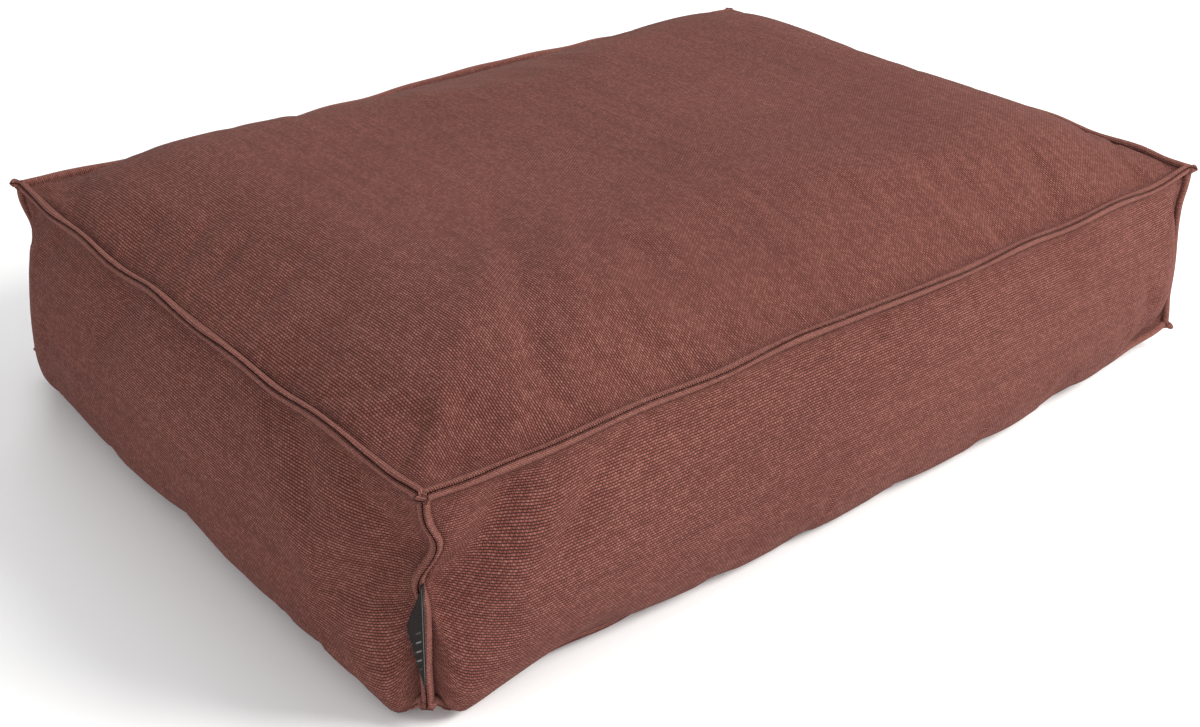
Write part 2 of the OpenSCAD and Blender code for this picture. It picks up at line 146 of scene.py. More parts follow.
def side_section(share):
    """Cross section of a side midway between its corners, as a smooth curve through
    SIDE_SECTION: distance out and height for a share of the way up the cloth."""
    weights = spline_weights(2 * share.ravel() - 1, 1, len(SIDE_SECTION))
    return (weights @ SIDE_SECTION).reshape(share.shape + (2,))


def foot_spread(axis, side, place):
    """How far the foot of a side has rolled out at a place along it: axis is the direction it
    runs in, side the sign of the other one."""
    half = (HALF_L, HALF_W)[axis]
    ends = [FOOT_ROLL[(end, side) if axis == 0 else (side, end)] for end in (-1, 1)]
    spread = roll(half - np.abs(place), np.where(place < 0, ends[0], ends[1]))
    for run, sign, middle, width, share in FOOT_DENTS:
        if (run, sign) == (axis, side):
            spread = spread * (1 - share * np.exp(-(((place - middle) / width) ** 2)))
    return spread


def belly_out(u, v, face):
    """A side: straight between the seams at its corners, rolling out to its cross section,
    sooner near the floor. Returns the shift up the cloth and the distance out."""
    share = (v + face["hv"]) / (2 * face["hv"])
    d = face["hu"] - abs(u)
    section = side_section(share)
    out = section[..., 0] * face["full"]
    lift = section[..., 1] - (STITCH_LOW + share * (STITCH_HIGH - STITCH_LOW))
    near = (1 - np.clip((v + face["hv"]) / SEAM_REACH, 0, 1)) ** 2
    axis = int(np.argmax(np.abs(face["u"])))
    foot = foot_spread(axis, int(face["n"][1 - axis]), u * face["u"][axis])
    reach = np.where(u < 0, *face["roll"])
    spread = foot + (roll(d, reach) - foot) * smooth(share / FOOT_SHARE)
    tuck_out, tuck_up = SIDE_SECTION[0, 0] * face["full"], SIDE_SECTION[0, 1] - STITCH_LOW
    return spread * (lift - tuck_up * near), spread * (out - tuck_out * near)


def make_face(name, along, up, hu, hv, centre, out, reach=(0.0, 0.0), full=1.0):
    """A side of the box: two unit directions whose cross product points out, half sizes
    between the stitch lines, the middle, and the function that gives how far it bulges. For an
    upright side also how far from its two ends it is full, and how full it is."""
    along, up = np.array(along, float), np.array(up, float)
    return {"name": name, "u": along, "v": up, "n": np.cross(along, up), "hu": hu, "hv": hv,
            "centre": np.array(centre, float), "out": out, "roll": reach, "full": full}


def upright(name, along, half, centre, reach, full=1.0):
    """One of the four sides that stand between the top and the bottom."""
    return make_face(name, along, (0, 0, 1), half, HALF_H, centre, belly_out, reach, full)


FACES = {f["name"]: f for f in (
    make_face("top_panel", (1, 0, 0), (0, 1, 0), HALF_L, HALF_W, (0, 0, STITCH_HIGH), crown_out),
    make_face("bottom_panel", (1, 0, 0), (0, -1, 0), HALF_L, HALF_W, (0, 0, STITCH_LOW), floor_out),
    upright("front_panel", (1, 0, 0), HALF_L, (0, -HALF_W, MID_Z), (0.09, 0.048), 0.9),
    upright("back_panel", (-1, 0, 0), HALF_L, (0, HALF_W, MID_Z), (BACK_ROLL, BACK_ROLL), 1.075),
    upright("left_panel", (0, -1, 0), HALF_W, (-HALF_L, 0, MID_Z), (0.075, 0.11), 1.04),
    upright("right_panel", (0, 1, 0), HALF_W, (HALF_L, 0, MID_Z), (0.07, 0.09)),
)}

# Seams that stray from the straight line: axis of the seam, signs of its two other
# coordinates, place along it from -1 to 1, width of the stray, and its shift
SEAM_STRAYS = (
    (0, -1, 1, -0.80, 0.10, (0, 0.001, -0.0048)),
    (0, -1, 1, 0.20, 0.13, (0, 0.001, -0.0032)),
    (0, -1, 1, -0.30, 0.16, (0, -0.001, 0.0012)),
    (1, -1, 1, 0.35, 0.15, (0.0005, 0, -0.002)),
    (1, -1, 1, -0.45, 0.12, (-0.0008, 0, -0.002)),
    (2, -1, -1, 0.55, 0.20, (0.0055, -0.0045, 0)),
    (2, -1, -1, 0.20, 0.15, (-0.0030, 0.0026, 0)),
    (2, -1, 1, -0.15, 0.85, (0.0115, -0.0115, 0)),
    (2, 1, -1, 0.10, 0.70, (-0.0035, 0.0035, 0)),
    (2, 1, 1, 0.0, 0.70, (-0.004, -0.004, 0)),
    (0, 1, 1, 0.20, 0.20, (0, 0, 0.0045)),
    (1, 1, 1, -0.50, 0.45, (0, 0, 0.0050)),
    (1, 1, 1, 0.75, 0.15, (0, 0, -0.0040)),
    (0, 1, 1, -0.58, 0.20, (0, 0, -0.0050)),
)

# Shift of each box corner, outwards along x, y and z
CORNER_SHIFTS = {
    (-1, -1, 1): (-0.0040, -0.0040, -0.0020),
    (-1, 1, 1): (-0.0035, -0.0035, 0.0022),
    (1, -1, 1): (-0.0035, -0.0035, 0.0040),
    (1, 1, 1): (-0.0030, -0.0030, 0.0),
    (-1, -1, -1): (0.0015, 0.0015, 0.0050),
    (-1, 1, -1): (-0.0015, -0.0015, 0.0),
    (1, -1, -1): (0.0020, 0.0020, 0.0),
    (1, 1, -1): (0.0020, 0.0020, 0.0),
}

# How far the tip of each ear stands out from its stitch corner, along x, y and z
EAR_TIPS = {
    (-1, -1, 1): (0.0080, 0.0080, 0.0042),
    (-1, 1, 1): (0.0082, 0.0082, 0.0056),
    (1, -1, 1): (0.0080, 0.0080, 0.0034),
    (1, 1, 1): (0.0080, 0.0080, 0.0040),
    (-1, -1, -1): (0.0060, 0.0060, 0.0030),
    (-1, 1, -1): (0.0085, 0.0085, 0.0045),
    (1, -1, -1): (0.0085, 0.0085, 0.0045),
    (1, 1, -1): (0.0085, 0.0085, 0.0045),
}
# The upright side that a direction and its sign point at
SIDE_OF = {(1, -1): "front_panel", (1, 1): "back_panel", (0, -1): "left_panel", (0, 1): "right_panel"}
SIDES = tuple(SIDE_OF.values())


def edge_frame(points, axis):
    """For points of a box edge that runs along an axis: the edge's half length, the places
    along it, the two other axes, and the signs of the points on those."""
    centred = points - np.array((0, 0, MID_Z))
    others = [k for k in (0, 1, 2) if k != axis]
    return (HALF_L, HALF_W, HALF_H)[axis], centred[..., axis], others, np.sign(centred[..., others])


def corner_signs(face, side_u, side_v):
    """The signs of x, y and z of one corner of a face."""
    corner = face["centre"] * (1, 1, 0) + side_u * face["u"] + side_v * face["v"] + face["n"] * (0, 0, 1)
    return tuple(int(k) for k in np.sign(corner))


def seam_shift(points, axis):
    """How far the seam at these points of a box edge strays from straight: two sines of the
    place along the edge in each cross direction, with phases that differ from edge to edge,
    plus the listed strays, all fading to nothing at the corners."""
    half, length, others, signs = edge_frame(points, axis)
    signs = signs[0]
    s = length / half
    key = 1.7 * axis + 2.3 * signs[0] + 3.9 * signs[1]
    fade = smooth((1 - np.abs(s)) * half / (0.03 if axis == 2 else 0.05))
    shift = np.zeros_like(points)
    for k, other in enumerate(others):
        phase = key + 2.1 * k
        shift[:, other] = (0.0006 * np.sin(length / 0.0165 + phase)
                           + 0.0009 * np.sin(length / 0.031 - 2 * phase))
    if axis != 2 and signs[1] < 0:
        full = FACES[SIDE_OF[1 - axis, int(signs[0])]]["full"]
        spread = foot_spread(axis, int(signs[0]), length)
        shift[:, others[0]] += signs[0] * SIDE_SECTION[0, 0] * full * spread
        shift[:, 2] += (SIDE_SECTION[0, 1] - STITCH_LOW) * spread
        return shift * smooth((1 - np.abs(s)) * half / 0.01)[:, None]
    for line, first, second, place, width, move in SEAM_STRAYS:
        if line == axis and (signs[0], signs[1]) == (first, second):
            shift += np.exp(-(((s - place) / width) ** 2))[:, None] * np.array(move)
    return shift * fade[:, None]


# Soft folds pressed into the panels: panel, start and end in metres from the panel's
# middle, depth (in is negative) and half width
FOLDS = (
    ("front_panel", (-0.392, 0.000), (-0.322, 0.064), -0.0110, 0.015),
    ("front_panel", (-0.350, 0.010), (-0.300, 0.050), 0.0035, 0.016),
    ("front_panel", (-0.388, -0.05), (-0.33, 0.0), 0.003, 0.02),
    ("front_panel", (-0.25, 0.058), (0.02, 0.06), -0.0022, 0.014),
    ("front_panel", (0.3885, -0.055), (0.3875, 0.050), -0.0060, 0.0075),
    ("left_panel", (0.270, 0.034), (0.205, -0.010), -0.0065, 0.014),
    ("left_panel", (0.10, 0.055), (0.268, -0.030), 0.0035, 0.02),
    ("left_panel", (0.20, 0.062), (0.258, 0.035), -0.003, 0.012),
    ("top_panel", (-0.385, -0.262), (-0.19, -0.10), 0.0028, 0.013),
    ("top_panel", (-0.370, -0.272), (-0.21, -0.19), -0.0026, 0.013),
    ("top_panel", (-0.280, -0.245), (-0.175, -0.055), -0.0028, 0.011),
    ("top_panel", (-0.225, -0.215), (-0.12, -0.05), 0.0018, 0.012),
    ("top_panel", (-0.330, 0.16), (-0.345, -0.16), -0.003, 0.024),
    ("top_panel", (-0.10, -0.255), (0.04, -0.235), -0.002, 0.016),
    ("right_panel", (-0.262, -0.01), (-0.20, 0.052), -0.004, 0.013),
    ("right_panel", (0.262, -0.01), (0.20, 0.052), -0.004, 0.013),
    ("back_panel", (0.385, 0.0), (0.325, 0.058), -0.0045, 0.013),
    ("back_panel", (-0.385, 0.0), (-0.325, 0.058), -0.0045, 0.013),
)


def fold_out(u, v, face):
    """Sum of the folds on a face: each has a bell-shaped cross section about its line, and
    swells from nothing at one end of the line to full in the middle and back."""
    total = np.zeros(np.broadcast(u, v).shape)
    for name, start, end, depth, width in FOLDS:
        if name == face["name"]:
            a, b = np.array(start), np.array(end)
            line = b - a
            t = ((u - a[0]) * line[0] + (v - a[1]) * line[1]) / (line @ line)
            off = ((u - a[0]) * line[1] - (v - a[1]) * line[0]) / np.linalg.norm(line)
            total += depth * np.exp(-((off / width) ** 2)) * smooth(t * 2 + 0.5) * smooth(2.5 - t * 2)
    edge = np.minimum(face["hu"] - abs(u), face["hv"] - abs(v))
    return total * smooth(edge / 0.012)


def edge_shifts(u, v, face):
    """The stray of the four seams of a face, carried into it and fading out over SEAM_REACH."""
    shape = np.broadcast(u, v).shape
    total = np.zeros(shape + (3,))
    for along, across, h_across, x, y in ((face["u"], face["v"], face["hv"], u, v),
                                          (face["v"], face["u"], face["hu"], v, u)):
        axis = int(np.argmax(np.abs(along)))
        for side in (-1, 1):
            line = np.broadcast_to(x, shape).ravel()
            on_edge = face["centre"] + line[:, None] * along + side * h_across * across
            near = (1 - np.clip((h_across - side * y) / SEAM_REACH, 0, 1)) ** 2
            shift = seam_shift(on_edge, axis).reshape(shape + (3,))
            total += shift * np.broadcast_to(near, shape)[..., None]
    return total + corner_shifts(u, v, face)


def corner_shifts(u, v, face):
    """The shift of the four corners of a face, each fading out over CORNER_REACH both ways."""
    total = np.zeros(np.broadcast(u, v).shape + (3,))
    for side_u in (-1, 1):
        for side_v in (-1, 1):
            signs = corner_signs(face, side_u, side_v)
            move = np.array(signs) * CORNER_SHIFTS[signs]
            near_u = np.clip(1 - (face["hu"] - side_u * u) / CORNER_REACH, 0, 1) ** 2
            near_v = np.clip(1 - (face["hv"] - side_v * v) / CORNER_REACH, 0, 1) ** 2
            total += (near_u * near_v)[..., None] * move
    return total


def face_points(face, u, v):
    """Points of a face at the places u and v: flat, plus the bulge and folds along its
    normal, plus the stray of its seams."""
    flat = face["centre"] + u[..., None] * face["u"] + v[..., None] * face["v"]
    lift, out = face["out"](u, v, face)
    out = out + fold_out(u, v, face)
    made = flat + lift[..., None] * face["v"] + out[..., None] * face["n"] + edge_shifts(u, v, face)
    made[..., 2] = np.maximum(made[..., 2], FLOOR_GAP)
    return made


def steps(half, step):
    """Even places from -half to half, about a step apart."""
    return np.linspace(-half, half, 2 * round(half / step) + 1)


# ---------------------------------------------------------------- meshes

def new_mesh(name, points, faces, uv=None):
    """A mesh object at the origin from arrays of points and of three- or four-cornered faces."""
    mesh = bpy.data.meshes.new(name)
    faces = faces if isinstance(faces, list) else faces.tolist()
    mesh.from_pydata(np.asarray(points, float).tolist(), [], faces)
    mesh.polygons.foreach_set("use_smooth", np.ones(len(mesh.polygons), bool))
    if uv is not None:
        corners = np.zeros(len(mesh.loops), np.int32)
        mesh.loops.foreach_get("vertex_index", corners)
        layer = mesh.uv_layers.new(name="cloth")
        layer.data.foreach_set("uv", np.asarray(uv, np.float32)[corners].ravel())
    mesh.update()
    made = bpy.data.objects.new(name, mesh)
    bpy.context.scene.collection.objects.link(made)
    return made


def grid_faces(rows, cols, start=0):
    """Quads of a grid of points numbered row by row."""
    index = start + np.arange(rows * cols).reshape(rows, cols)
    return np.stack([index[:-1, :-1], index[:-1, 1:], index[1:, 1:], index[1:, :-1]], -1).reshape(-1, 4)


def tube_faces(rings, sides):
    """Quads of a tube: rings of points, each closed on itself."""
    index = np.arange(rings * sides).reshape(rings, sides)
    turned = np.roll(index, -1, 1)
    return np.stack([index[:-1], turned[:-1], turned[1:], index[1:]], -1).reshape(-1, 4)


def unit(a):
    """Vectors at length one."""
    return a / np.maximum(np.linalg.norm(a, axis=-1, keepdims=True), 1e-12)


def run_along(points):
    """The distance run from the first point of a line to each of its points."""
    return np.concatenate([[0], np.cumsum(np.linalg.norm(np.diff(points, axis=0), axis=1))])


def thicken(piece, thickness):
    """Cloth thickness to the inside, with its rims closed."""
    wall = piece.modifiers.new("thickness", "SOLIDIFY")
    wall.thickness = thickness
    wall.offset = -1
    wall.use_even_offset = False
    wall.use_rim = True
    return piece


def grid_mesh(name, points, uv, thickness):
    """A thickened cloth from a grid of points and their places on the cloth."""
    made = new_mesh(name, points.reshape(-1, 3), grid_faces(*points.shape[:2]), uv.reshape(-1, 2))
    return thicken(made, thickness)


def apply_modifiers(piece):
    """Bakes a piece's modifiers into its mesh."""
    graph = bpy.context.evaluated_depsgraph_get()
    done = bpy.data.meshes.new_from_object(piece.evaluated_get(graph), depsgraph=graph)
    piece.modifiers.clear()
    piece.data = done
    return piece


# ---------------------------------------------------------------- cloth simulation

SIM_FRAMES = 18
SIM_PRESSURE = 3.0
SIM_SLACK = -0.012
SIM_CAP = 0.0045
# Cloth held still: this near the floor, and this far above and past the zip
FLOOR_HOLD = 0.002
ZIP_HOLD_UP = 0.019
ZIP_HOLD_PAST = 0.025
# Seam points nearer than this count as on the seam
ON_SEAM = 1e-6


def sim_grids():
    """The places and points of every face on the grid that the simulation uses."""
    grids = {}
    for name, face in FACES.items():
        u, v = np.meshgrid(steps(face["hu"], SIM_STEP), steps(face["hv"], SIM_STEP))
        grids[name] = (u, v, face_points(face, u, v))
    return grids


def simulate_cover():
    """Cloth simulation of the whole filled cover under pressure, with the seams, the zip and
    the floor held. Returns for each face how far its grid moved, capped softly at SIM_CAP."""
    grids = sim_grids()
    points = np.concatenate([g[2].reshape(-1, 3) for g in grids.values()])
    _, first, welded = np.unique(np.round(points, 5), axis=0, return_index=True, return_inverse=True)
    welded = welded.ravel()
    faces, held, start = [], [], 0
    for name, (u, v, p) in grids.items():
        face = FACES[name]
        faces.append(grid_faces(*u.shape, start))
        start += u.size
        pin = (face["hu"] - abs(u) < ON_SEAM) | (face["hv"] - abs(v) < ON_SEAM)
        if name == "bottom_panel":
            pin |= p[..., 2] < FLOOR_HOLD
        if name == "back_panel":
            pin |= (abs(p[..., 2] - ZIP_Z) < ZIP_HOLD_UP) & (abs(u) < ZIP_HALF + ZIP_HOLD_PAST)
        held.append(pin.ravel())
    pins = np.zeros(len(first), bool)
    np.logical_or.at(pins, welded, np.concatenate(held))
    bag = new_mesh("sim_bag", points[first], welded[np.concatenate(faces)])
    group = bag.vertex_groups.new(name="held")
    group.add(np.flatnonzero(pins).tolist(), 1.0, "REPLACE")
    cloth = bag.modifiers.new("cloth", "CLOTH")
    s = cloth.settings
    s.quality = 6
    s.mass = 0.25
    s.tension_stiffness = 25
    s.compression_stiffness = 25
    s.shear_stiffness = 12
    s.bending_stiffness = 0.4
    s.tension_damping = 8
    s.compression_damping = 8
    s.air_damping = 2
    s.vertex_group_mass = "held"
    s.pin_stiffness = 1
    s.use_pressure = True
    s.uniform_pressure_force = SIM_PRESSURE
    s.shrink_min = SIM_SLACK
    s.effector_weights.gravity = 0
    cloth.collision_settings.use_collision = False
    scene = bpy.context.scene
    for number in range(1, SIM_FRAMES + 1):
        scene.frame_set(number)
    done = bag.evaluated_get(bpy.context.evaluated_depsgraph_get()).data
    after = np.zeros(len(done.vertices) * 3, np.float32)
    done.vertices.foreach_get("co", after)
    moved = (after.reshape(-1, 3) - points[first])[welded]
    bpy.data.objects.remove(bag)
    scene.frame_set(1)
    far = np.linalg.norm(moved, axis=1, keepdims=True)
    moved = moved * SIM_CAP * np.tanh(far / SIM_CAP) / np.maximum(far, 1e-9)
    result, start = {}, 0
    for name, (u, v, p) in grids.items():
        result[name] = moved[start:start + u.size].reshape(p.shape)
        start += u.size
    return result


def spline_weights(places, half, count):
    """Matrix that reads a row of evenly spaced values, from -half to half, at any places:
    each place takes its four nearest values with cubic weights."""
    t = np.clip((places + half) / (2 * half), 0, 1) * (count - 1)
    left = np.clip(np.floor(t).astype(int), 0, count - 2)
    f = t - left
    cubic = np.stack([-f + 2 * f**2 - f**3, 2 - 5 * f**2 + 3 * f**3,
                      f + 4 * f**2 - 3 * f**3, f**3 - f**2], 1) / 2
    weights = np.zeros((len(places), count))
    for k in range(4):
        np.add.at(weights, (np.arange(len(places)), np.clip(left + k - 1, 0, count - 1)), cubic[:, k])
    return weights


def settled_points(face, u_line, v_rows, drift):
    """Points of a face at the columns u_line and the places v_rows (one row of heights per
    row of the grid), moved by the simulation's drift."""
    rows, cols = drift.shape[:2]
    across = np.einsum("cj,rjk->rck", spline_weights(u_line, face["hu"], cols), drift)
    flat_v = v_rows.ravel()
    up = spline_weights(flat_v, face["hv"], rows)
    column = np.tile(np.arange(len(u_line)), v_rows.shape[0])
    moved = np.einsum("pr,rpk->pk", up, across[:, column])
    u = np.broadcast_to(u_line, v_rows.shape)
    return face_points(face, u, v_rows) + moved.reshape(v_rows.shape + (3,))


# ---------------------------------------------------------------- flanges

# A flange leaf from its stitch line, over the roll, to the crest and down into the groove
# between the two leaves: share of the flange's width, and distance out from its middle
LEAF_PROFILE = np.array((
    (0.00, 0.0027), (0.10, 0.0034), (0.26, 0.0039), (0.48, 0.0039), (0.70, 0.0034),
    (0.88, 0.0025), (0.98, 0.0015), (0.985, 0.0007), (0.95, 0.0003), (0.88, 0.0002)))
RINGS = len(LEAF_PROFILE) - 1
LEAF_BASE = LEAF_PROFILE[0, 1]
BASE_REACH = 0.005
EAR_ROUND = 0.0078
# How much thinner a leaf is at the tip of an ear
EAR_THINNING = 0.35


def flange(points, axis):
    """The vector from the stitch line to the crest at these points of a box edge: halfway
    between the two faces, leaning and growing a little with sines of the place along it."""
    half, length, others, signs = edge_frame(points, axis)
    diagonal = np.zeros_like(points)
    diagonal[..., others] = signs / math.sqrt(2)
    along = np.eye(3)[axis]
    key = 2.9 * axis + 1.3 * signs[..., 0] + 4.1 * signs[..., 1]
    fade = smooth((half - abs(length)) / 0.03)
    lean = 0.12 * np.sin(length / 0.019 + key) + 0.12 * np.sin(length / 0.043 + 2 * key)
    height = FLANGE_W * (1 + fade * 0.09 * np.sin(length / 0.013 + 3 * key))
    if axis != 2 and signs.flat[1] < 0:
        diagonal[..., 2] += 0.62 * foot_spread(axis, int(signs.flat[0]), length)
        diagonal = unit(diagonal)
    lean = (lean * fade)[..., None]
    return height[..., None] * (np.cos(lean) * diagonal + np.sin(lean) * np.cross(along, diagonal))


def leaf_side(vector, along, face):
    """The direction out of a leaf that holds both vectors, on the side of its face."""
    side = unit(np.cross(along, vector))
    return side * np.sign(side @ face["n"])[..., None]


def ear_curve(t, axis, signs):
    """The crest of the seam along an axis as it leaves the straight and runs to the tip of
    the ear, with t from 0 to 1: a cubic curve on four points, and its direction."""
    tip = np.array(EAR_TIPS[signs])
    start = np.full(3, FLANGE_IN)
    start[axis] = 0
    if axis == 2:
        first = start + np.array((0.0005, 0.0005, 0.4 * tip[2]))
        last = tip - EAR_ROUND * np.array((0.45, 0.45, 0.5))
    else:
        other = 1 - axis
        first, last = start.copy(), tip.copy()
        first[axis] += 0.55 * tip[axis]
        first[other] += 0.35 * (tip[other] - FLANGE_IN)
        last[axis] -= EAR_ROUND / math.sqrt(2)
        last[other] += EAR_ROUND / math.sqrt(2)
    t = t[..., None]
    point = (1 - t) ** 3 * start + 3 * t * (1 - t) ** 2 * first + 3 * t**2 * (1 - t) * last + t**3 * tip
    slope = (1 - t) ** 2 * (first - start) + 2 * t * (1 - t) * (last - first) + t**2 * (tip - last)
    return point * signs, slope * signs


def leaf_frame(face, side_u, side_v, place_u, place_v, ku, kv):
    """For rings ku and kv past the u and the v edge: the vector to the crest and the
    direction out of the leaf. side_u and side_v are -1, 0 or 1 for the edge passed."""
    iu, iv = int(np.argmax(np.abs(face["u"]))), int(np.argmax(np.abs(face["v"])))
    if side_u and side_v:
        signs = corner_signs(face, side_u, side_v)
        top = np.maximum(np.maximum(ku, kv), 1)
        t = np.minimum(ku, kv) / top
        past_u, past_v = ear_curve(t, iv, signs), ear_curve(t, iu, signs)
        one = np.ones(1)
        middle = unit(sum(leaf_side(*ear_curve(one, axis, signs), face) for axis in (iv, iu)))
        choose = (ku >= kv)[..., None]
        out = np.where(choose, leaf_side(*past_u, face), leaf_side(*past_v, face))
        out = unit(out + smooth(t)[..., None] * (middle - out))
        return np.where(choose, past_u[0], past_v[0]), out, t
    if side_u:
        edge = face["centre"] + side_u * face["hu"] * face["u"] + place_v[..., None] * face["v"]
        vector, along = flange(edge, iv), face["v"]
    else:
        edge = face["centre"] + side_v * face["hv"] * face["v"] + place_u[..., None] * face["u"]
        vector, along = flange(edge, iu), face["u"]
    return vector, leaf_side(vector, along, face), np.zeros(ku.shape)


def base_offset(u, v, face, skip_low=False, skip_high=False):
    """The pinched cloth beside the stitch lines: each leaf's base distance along its own
    direction, fading with the square of the distance from the edge."""
    shape = u.shape
    none = np.zeros(shape, int)
    total, weight, most = np.zeros(shape + (3,)), np.zeros(shape), np.zeros(shape)
    for side_u, side_v in ((-1, 0), (1, 0), (0, -1), (0, 1)):
        if (side_v == -1 and skip_low) or (side_v == 1 and skip_high):
            continue
        d = face["hu"] - side_u * u if side_u else face["hv"] - side_v * v
        near = np.exp(-((d / BASE_REACH) ** 2))
        out = leaf_frame(face, side_u, side_v, u, v, none, none)[1]
        total += near[..., None] * out
        weight += near
        most = np.maximum(most, near)
    return LEAF_BASE * most[..., None] * total / np.maximum(weight, 1e-9)[..., None]


# ---------------------------------------------------------------- cover panels

NEAR_EDGE = np.array((0.0, 0.0012, 0.0027, 0.0048, 0.0078, 0.0115))
HEM_R = 0.0013
# A turned hem: half a circle round the fold, then straight back behind the cloth
HEM_PROFILE = np.array(
    [(HEM_R * math.sin(a), HEM_R * (1 - math.cos(a))) for a in np.linspace(0, math.pi, 6)]
    + [(back, 2 * HEM_R) for back in (-0.002, -0.0045, -0.007)])
# Share by which a hem flattens as it runs out along the leaf of a corner seam
HEM_EASE = 0.8
# How dark a leaf is painted in its creases as painted shade, and how pale on its crest as wear with a painted
# highlight, ring by ring
SEAM_SHADE_RINGS = ((0, 1, 2, 5, 6, 7, 9), (1, 0.5, 0.1, 0.0, 0.45, 1, 1))
RUB_AND_HIGHLIGHT_RINGS = ((0, 2, 4, 5, 7, 9), (0, 0.2, 0.8, 1, 0, 0))
RUB_AND_HIGHLIGHT_HEM = ((0, 2, 5), (0.6, 1, 0))
SEAM_SHADE_REACH = 0.004


def graded(lo, hi, step):
    """Places from lo to hi (numbers or arrays), close together near both ends."""
    lo, hi = np.asarray(lo, float), np.asarray(hi, float)
    inner_lo, inner_hi = lo + NEAR_EDGE[-1], hi - NEAR_EDGE[-1]
    count = max(2, int(math.ceil(float(np.max(inner_hi - inner_lo)) / step)))
    t = np.arange(1, count) / count
    middle = inner_lo + np.multiply.outer(t, inner_hi - inner_lo)
    return np.concatenate([lo + np.multiply.outer(NEAR_EDGE, np.ones(lo.shape)), middle,
                           hi - np.multiply.outer(NEAR_EDGE[::-1], np.ones(hi.shape))])


def ring_index(count, low_rings, high_rings):
    """For a line of count places with rings added before and after it: index of the place,
    rings past the end, and which end."""
    index = np.arange(-low_rings, count + high_rings)
    place = np.clip(index, 0, count - 1)
    return place, np.abs(index - place), np.sign(index - place)


def cover_panel(name, face, drift, v_low=None, v_high=None):
    """One cloth panel as a single grid: the filled face, the leaves of its flanges on every
    seamed edge, and a turned hem on an edge that v_low or v_high gives as a function of u."""
    u_line = graded(-face["hu"], face["hu"], GRID_STEP)
    lo = -face["hv"] + 0 * u_line if v_low is None else v_low(u_line)
    hi = face["hv"] + 0 * u_line if v_high is None else v_high(u_line)
    v_rows = graded(lo, hi, GRID_STEP)
    u = np.broadcast_to(u_line, v_rows.shape)
    hem = len(HEM_PROFILE) - 1
    row, kv, side_v = ring_index(len(v_rows), *(RINGS if end is None else hem for end in (v_low, v_high)))
    col, ku, side_u = ring_index(len(u_line), RINGS, RINGS)
    plain = settled_points(face, u_line, v_rows, drift)
    body = plain + base_offset(u, v_rows, face, v_low is not None, v_high is not None)
    points = body[row][:, col]
    uv = np.stack([u[row][:, col], v_rows[row][:, col]], -1)
    from_seams = [face["hu"] - abs(uv[..., 0])]
    from_seams += [face["hv"] + uv[..., 1]] if v_low is None else []
    from_seams += [face["hv"] - uv[..., 1]] if v_high is None else []
    # Painted shade along the stitch lines of the face, fading over a few millimetres from the seams
    seam_shade = np.exp(-((np.min(from_seams, axis=0) / SEAM_SHADE_REACH) ** 2))
    crest = np.zeros(seam_shade.shape)
    run, hem_run = run_along(LEAF_PROFILE * (FLANGE_W, 1)), run_along(HEM_PROFILE)
    for sv in (-1, 0, 1):
        for su in (-1, 0, 1):
            rows, cols = np.flatnonzero(side_v == sv), np.flatnonzero(side_u == su)
            if not len(rows) or not len(cols) or (su == 0 and sv == 0):
                continue
            at = np.ix_(rows, cols)
            is_hem = (sv == -1 and v_low is not None) or (sv == 1 and v_high is not None)
            place = np.ix_(row[rows], col[cols])
            ring_v, ring_u = np.meshgrid(kv[rows], ku[cols], indexing="ij")
            leaf_v = np.zeros_like(ring_v) if is_hem else ring_v
            ring = np.maximum(leaf_v, ring_u)
            if su or not is_hem:
                vector, out, t = leaf_frame(face, su, 0 if is_hem else sv, u[place], v_rows[place],
                                            ring_u, leaf_v)
                share, reach = LEAF_PROFILE[ring, 0], LEAF_PROFILE[ring, 1] * (1 - EAR_THINNING * t)
                points[at] = plain[place] + share[..., None] * vector + reach[..., None] * out
                # Painted shade down at the stitch line and in the groove between the two leaves
                seam_shade[at] = np.interp(ring, *SEAM_SHADE_RINGS)
                # Pale on the crest of the leaf: partly wear, partly painted highlight
                crest[at] = np.interp(ring, *RUB_AND_HIGHLIGHT_RINGS)
            if is_hem:
                turn = HEM_PROFILE[ring_v] * (1 - HEM_EASE * ring_u / RINGS)[..., None]
                points[at] += turn[..., :1] * sv * face["v"] - turn[..., 1:] * face["n"]
                # The fold of a hem paled the same way: partly wear, partly painted highlight
                crest[at] = np.maximum(crest[at], np.interp(ring_v, *RUB_AND_HIGHLIGHT_HEM))
            uv[at] += np.stack([su * run[ring_u], sv * (hem_run[ring_v] if is_hem else run[ring_v])], -1)
    if name == "top_panel":
        uv = uv[..., ::-1]
    elif face["out"] is belly_out:
        uv[..., 1] *= SIDE_CUT / (2 * HALF_H)
    panel = grid_mesh(name + "_cloth", points, uv, CLOTH_T)
    for label, values in (("seam_shade", seam_shade), ("rub_and_highlight", crest)):
        attribute = panel.data.attributes.new(label, "FLOAT", "POINT")
        attribute.data.foreach_set("value", np.ascontiguousarray(values.ravel(), np.float32))
    return panel


def slot_half(x):
    """Half height of the zip's slot: open along the zip, closed past its ends."""
    past = (abs(x) - ZIP_HALF - ZIP_LAND) / ZIP_SLOPE
    return np.maximum(SLOT_GAP, ZIP_WINDOW / 2 * (1 - np.clip(past, 0, 1)))


def cloth_place(u, z):
    """The place up the back panel at which its cloth is z high, found by stepping there."""
    v = np.zeros_like(u)
    for _ in range(40):
        v = v + 0.6 * (z - face_points(FACES["back_panel"], u, v)[..., 2])
    return v


def slot_top(u):
    """The place of the upper hem of the slot."""
    return cloth_place(u, ZIP_Z + slot_half(u) + HEM_R)


def slot_bottom(u):
    """The place of the lower hem of the slot."""
    return cloth_place(u, ZIP_Z - slot_half(u) - HEM_R)


# ---------------------------------------------------------------- stitches and threads

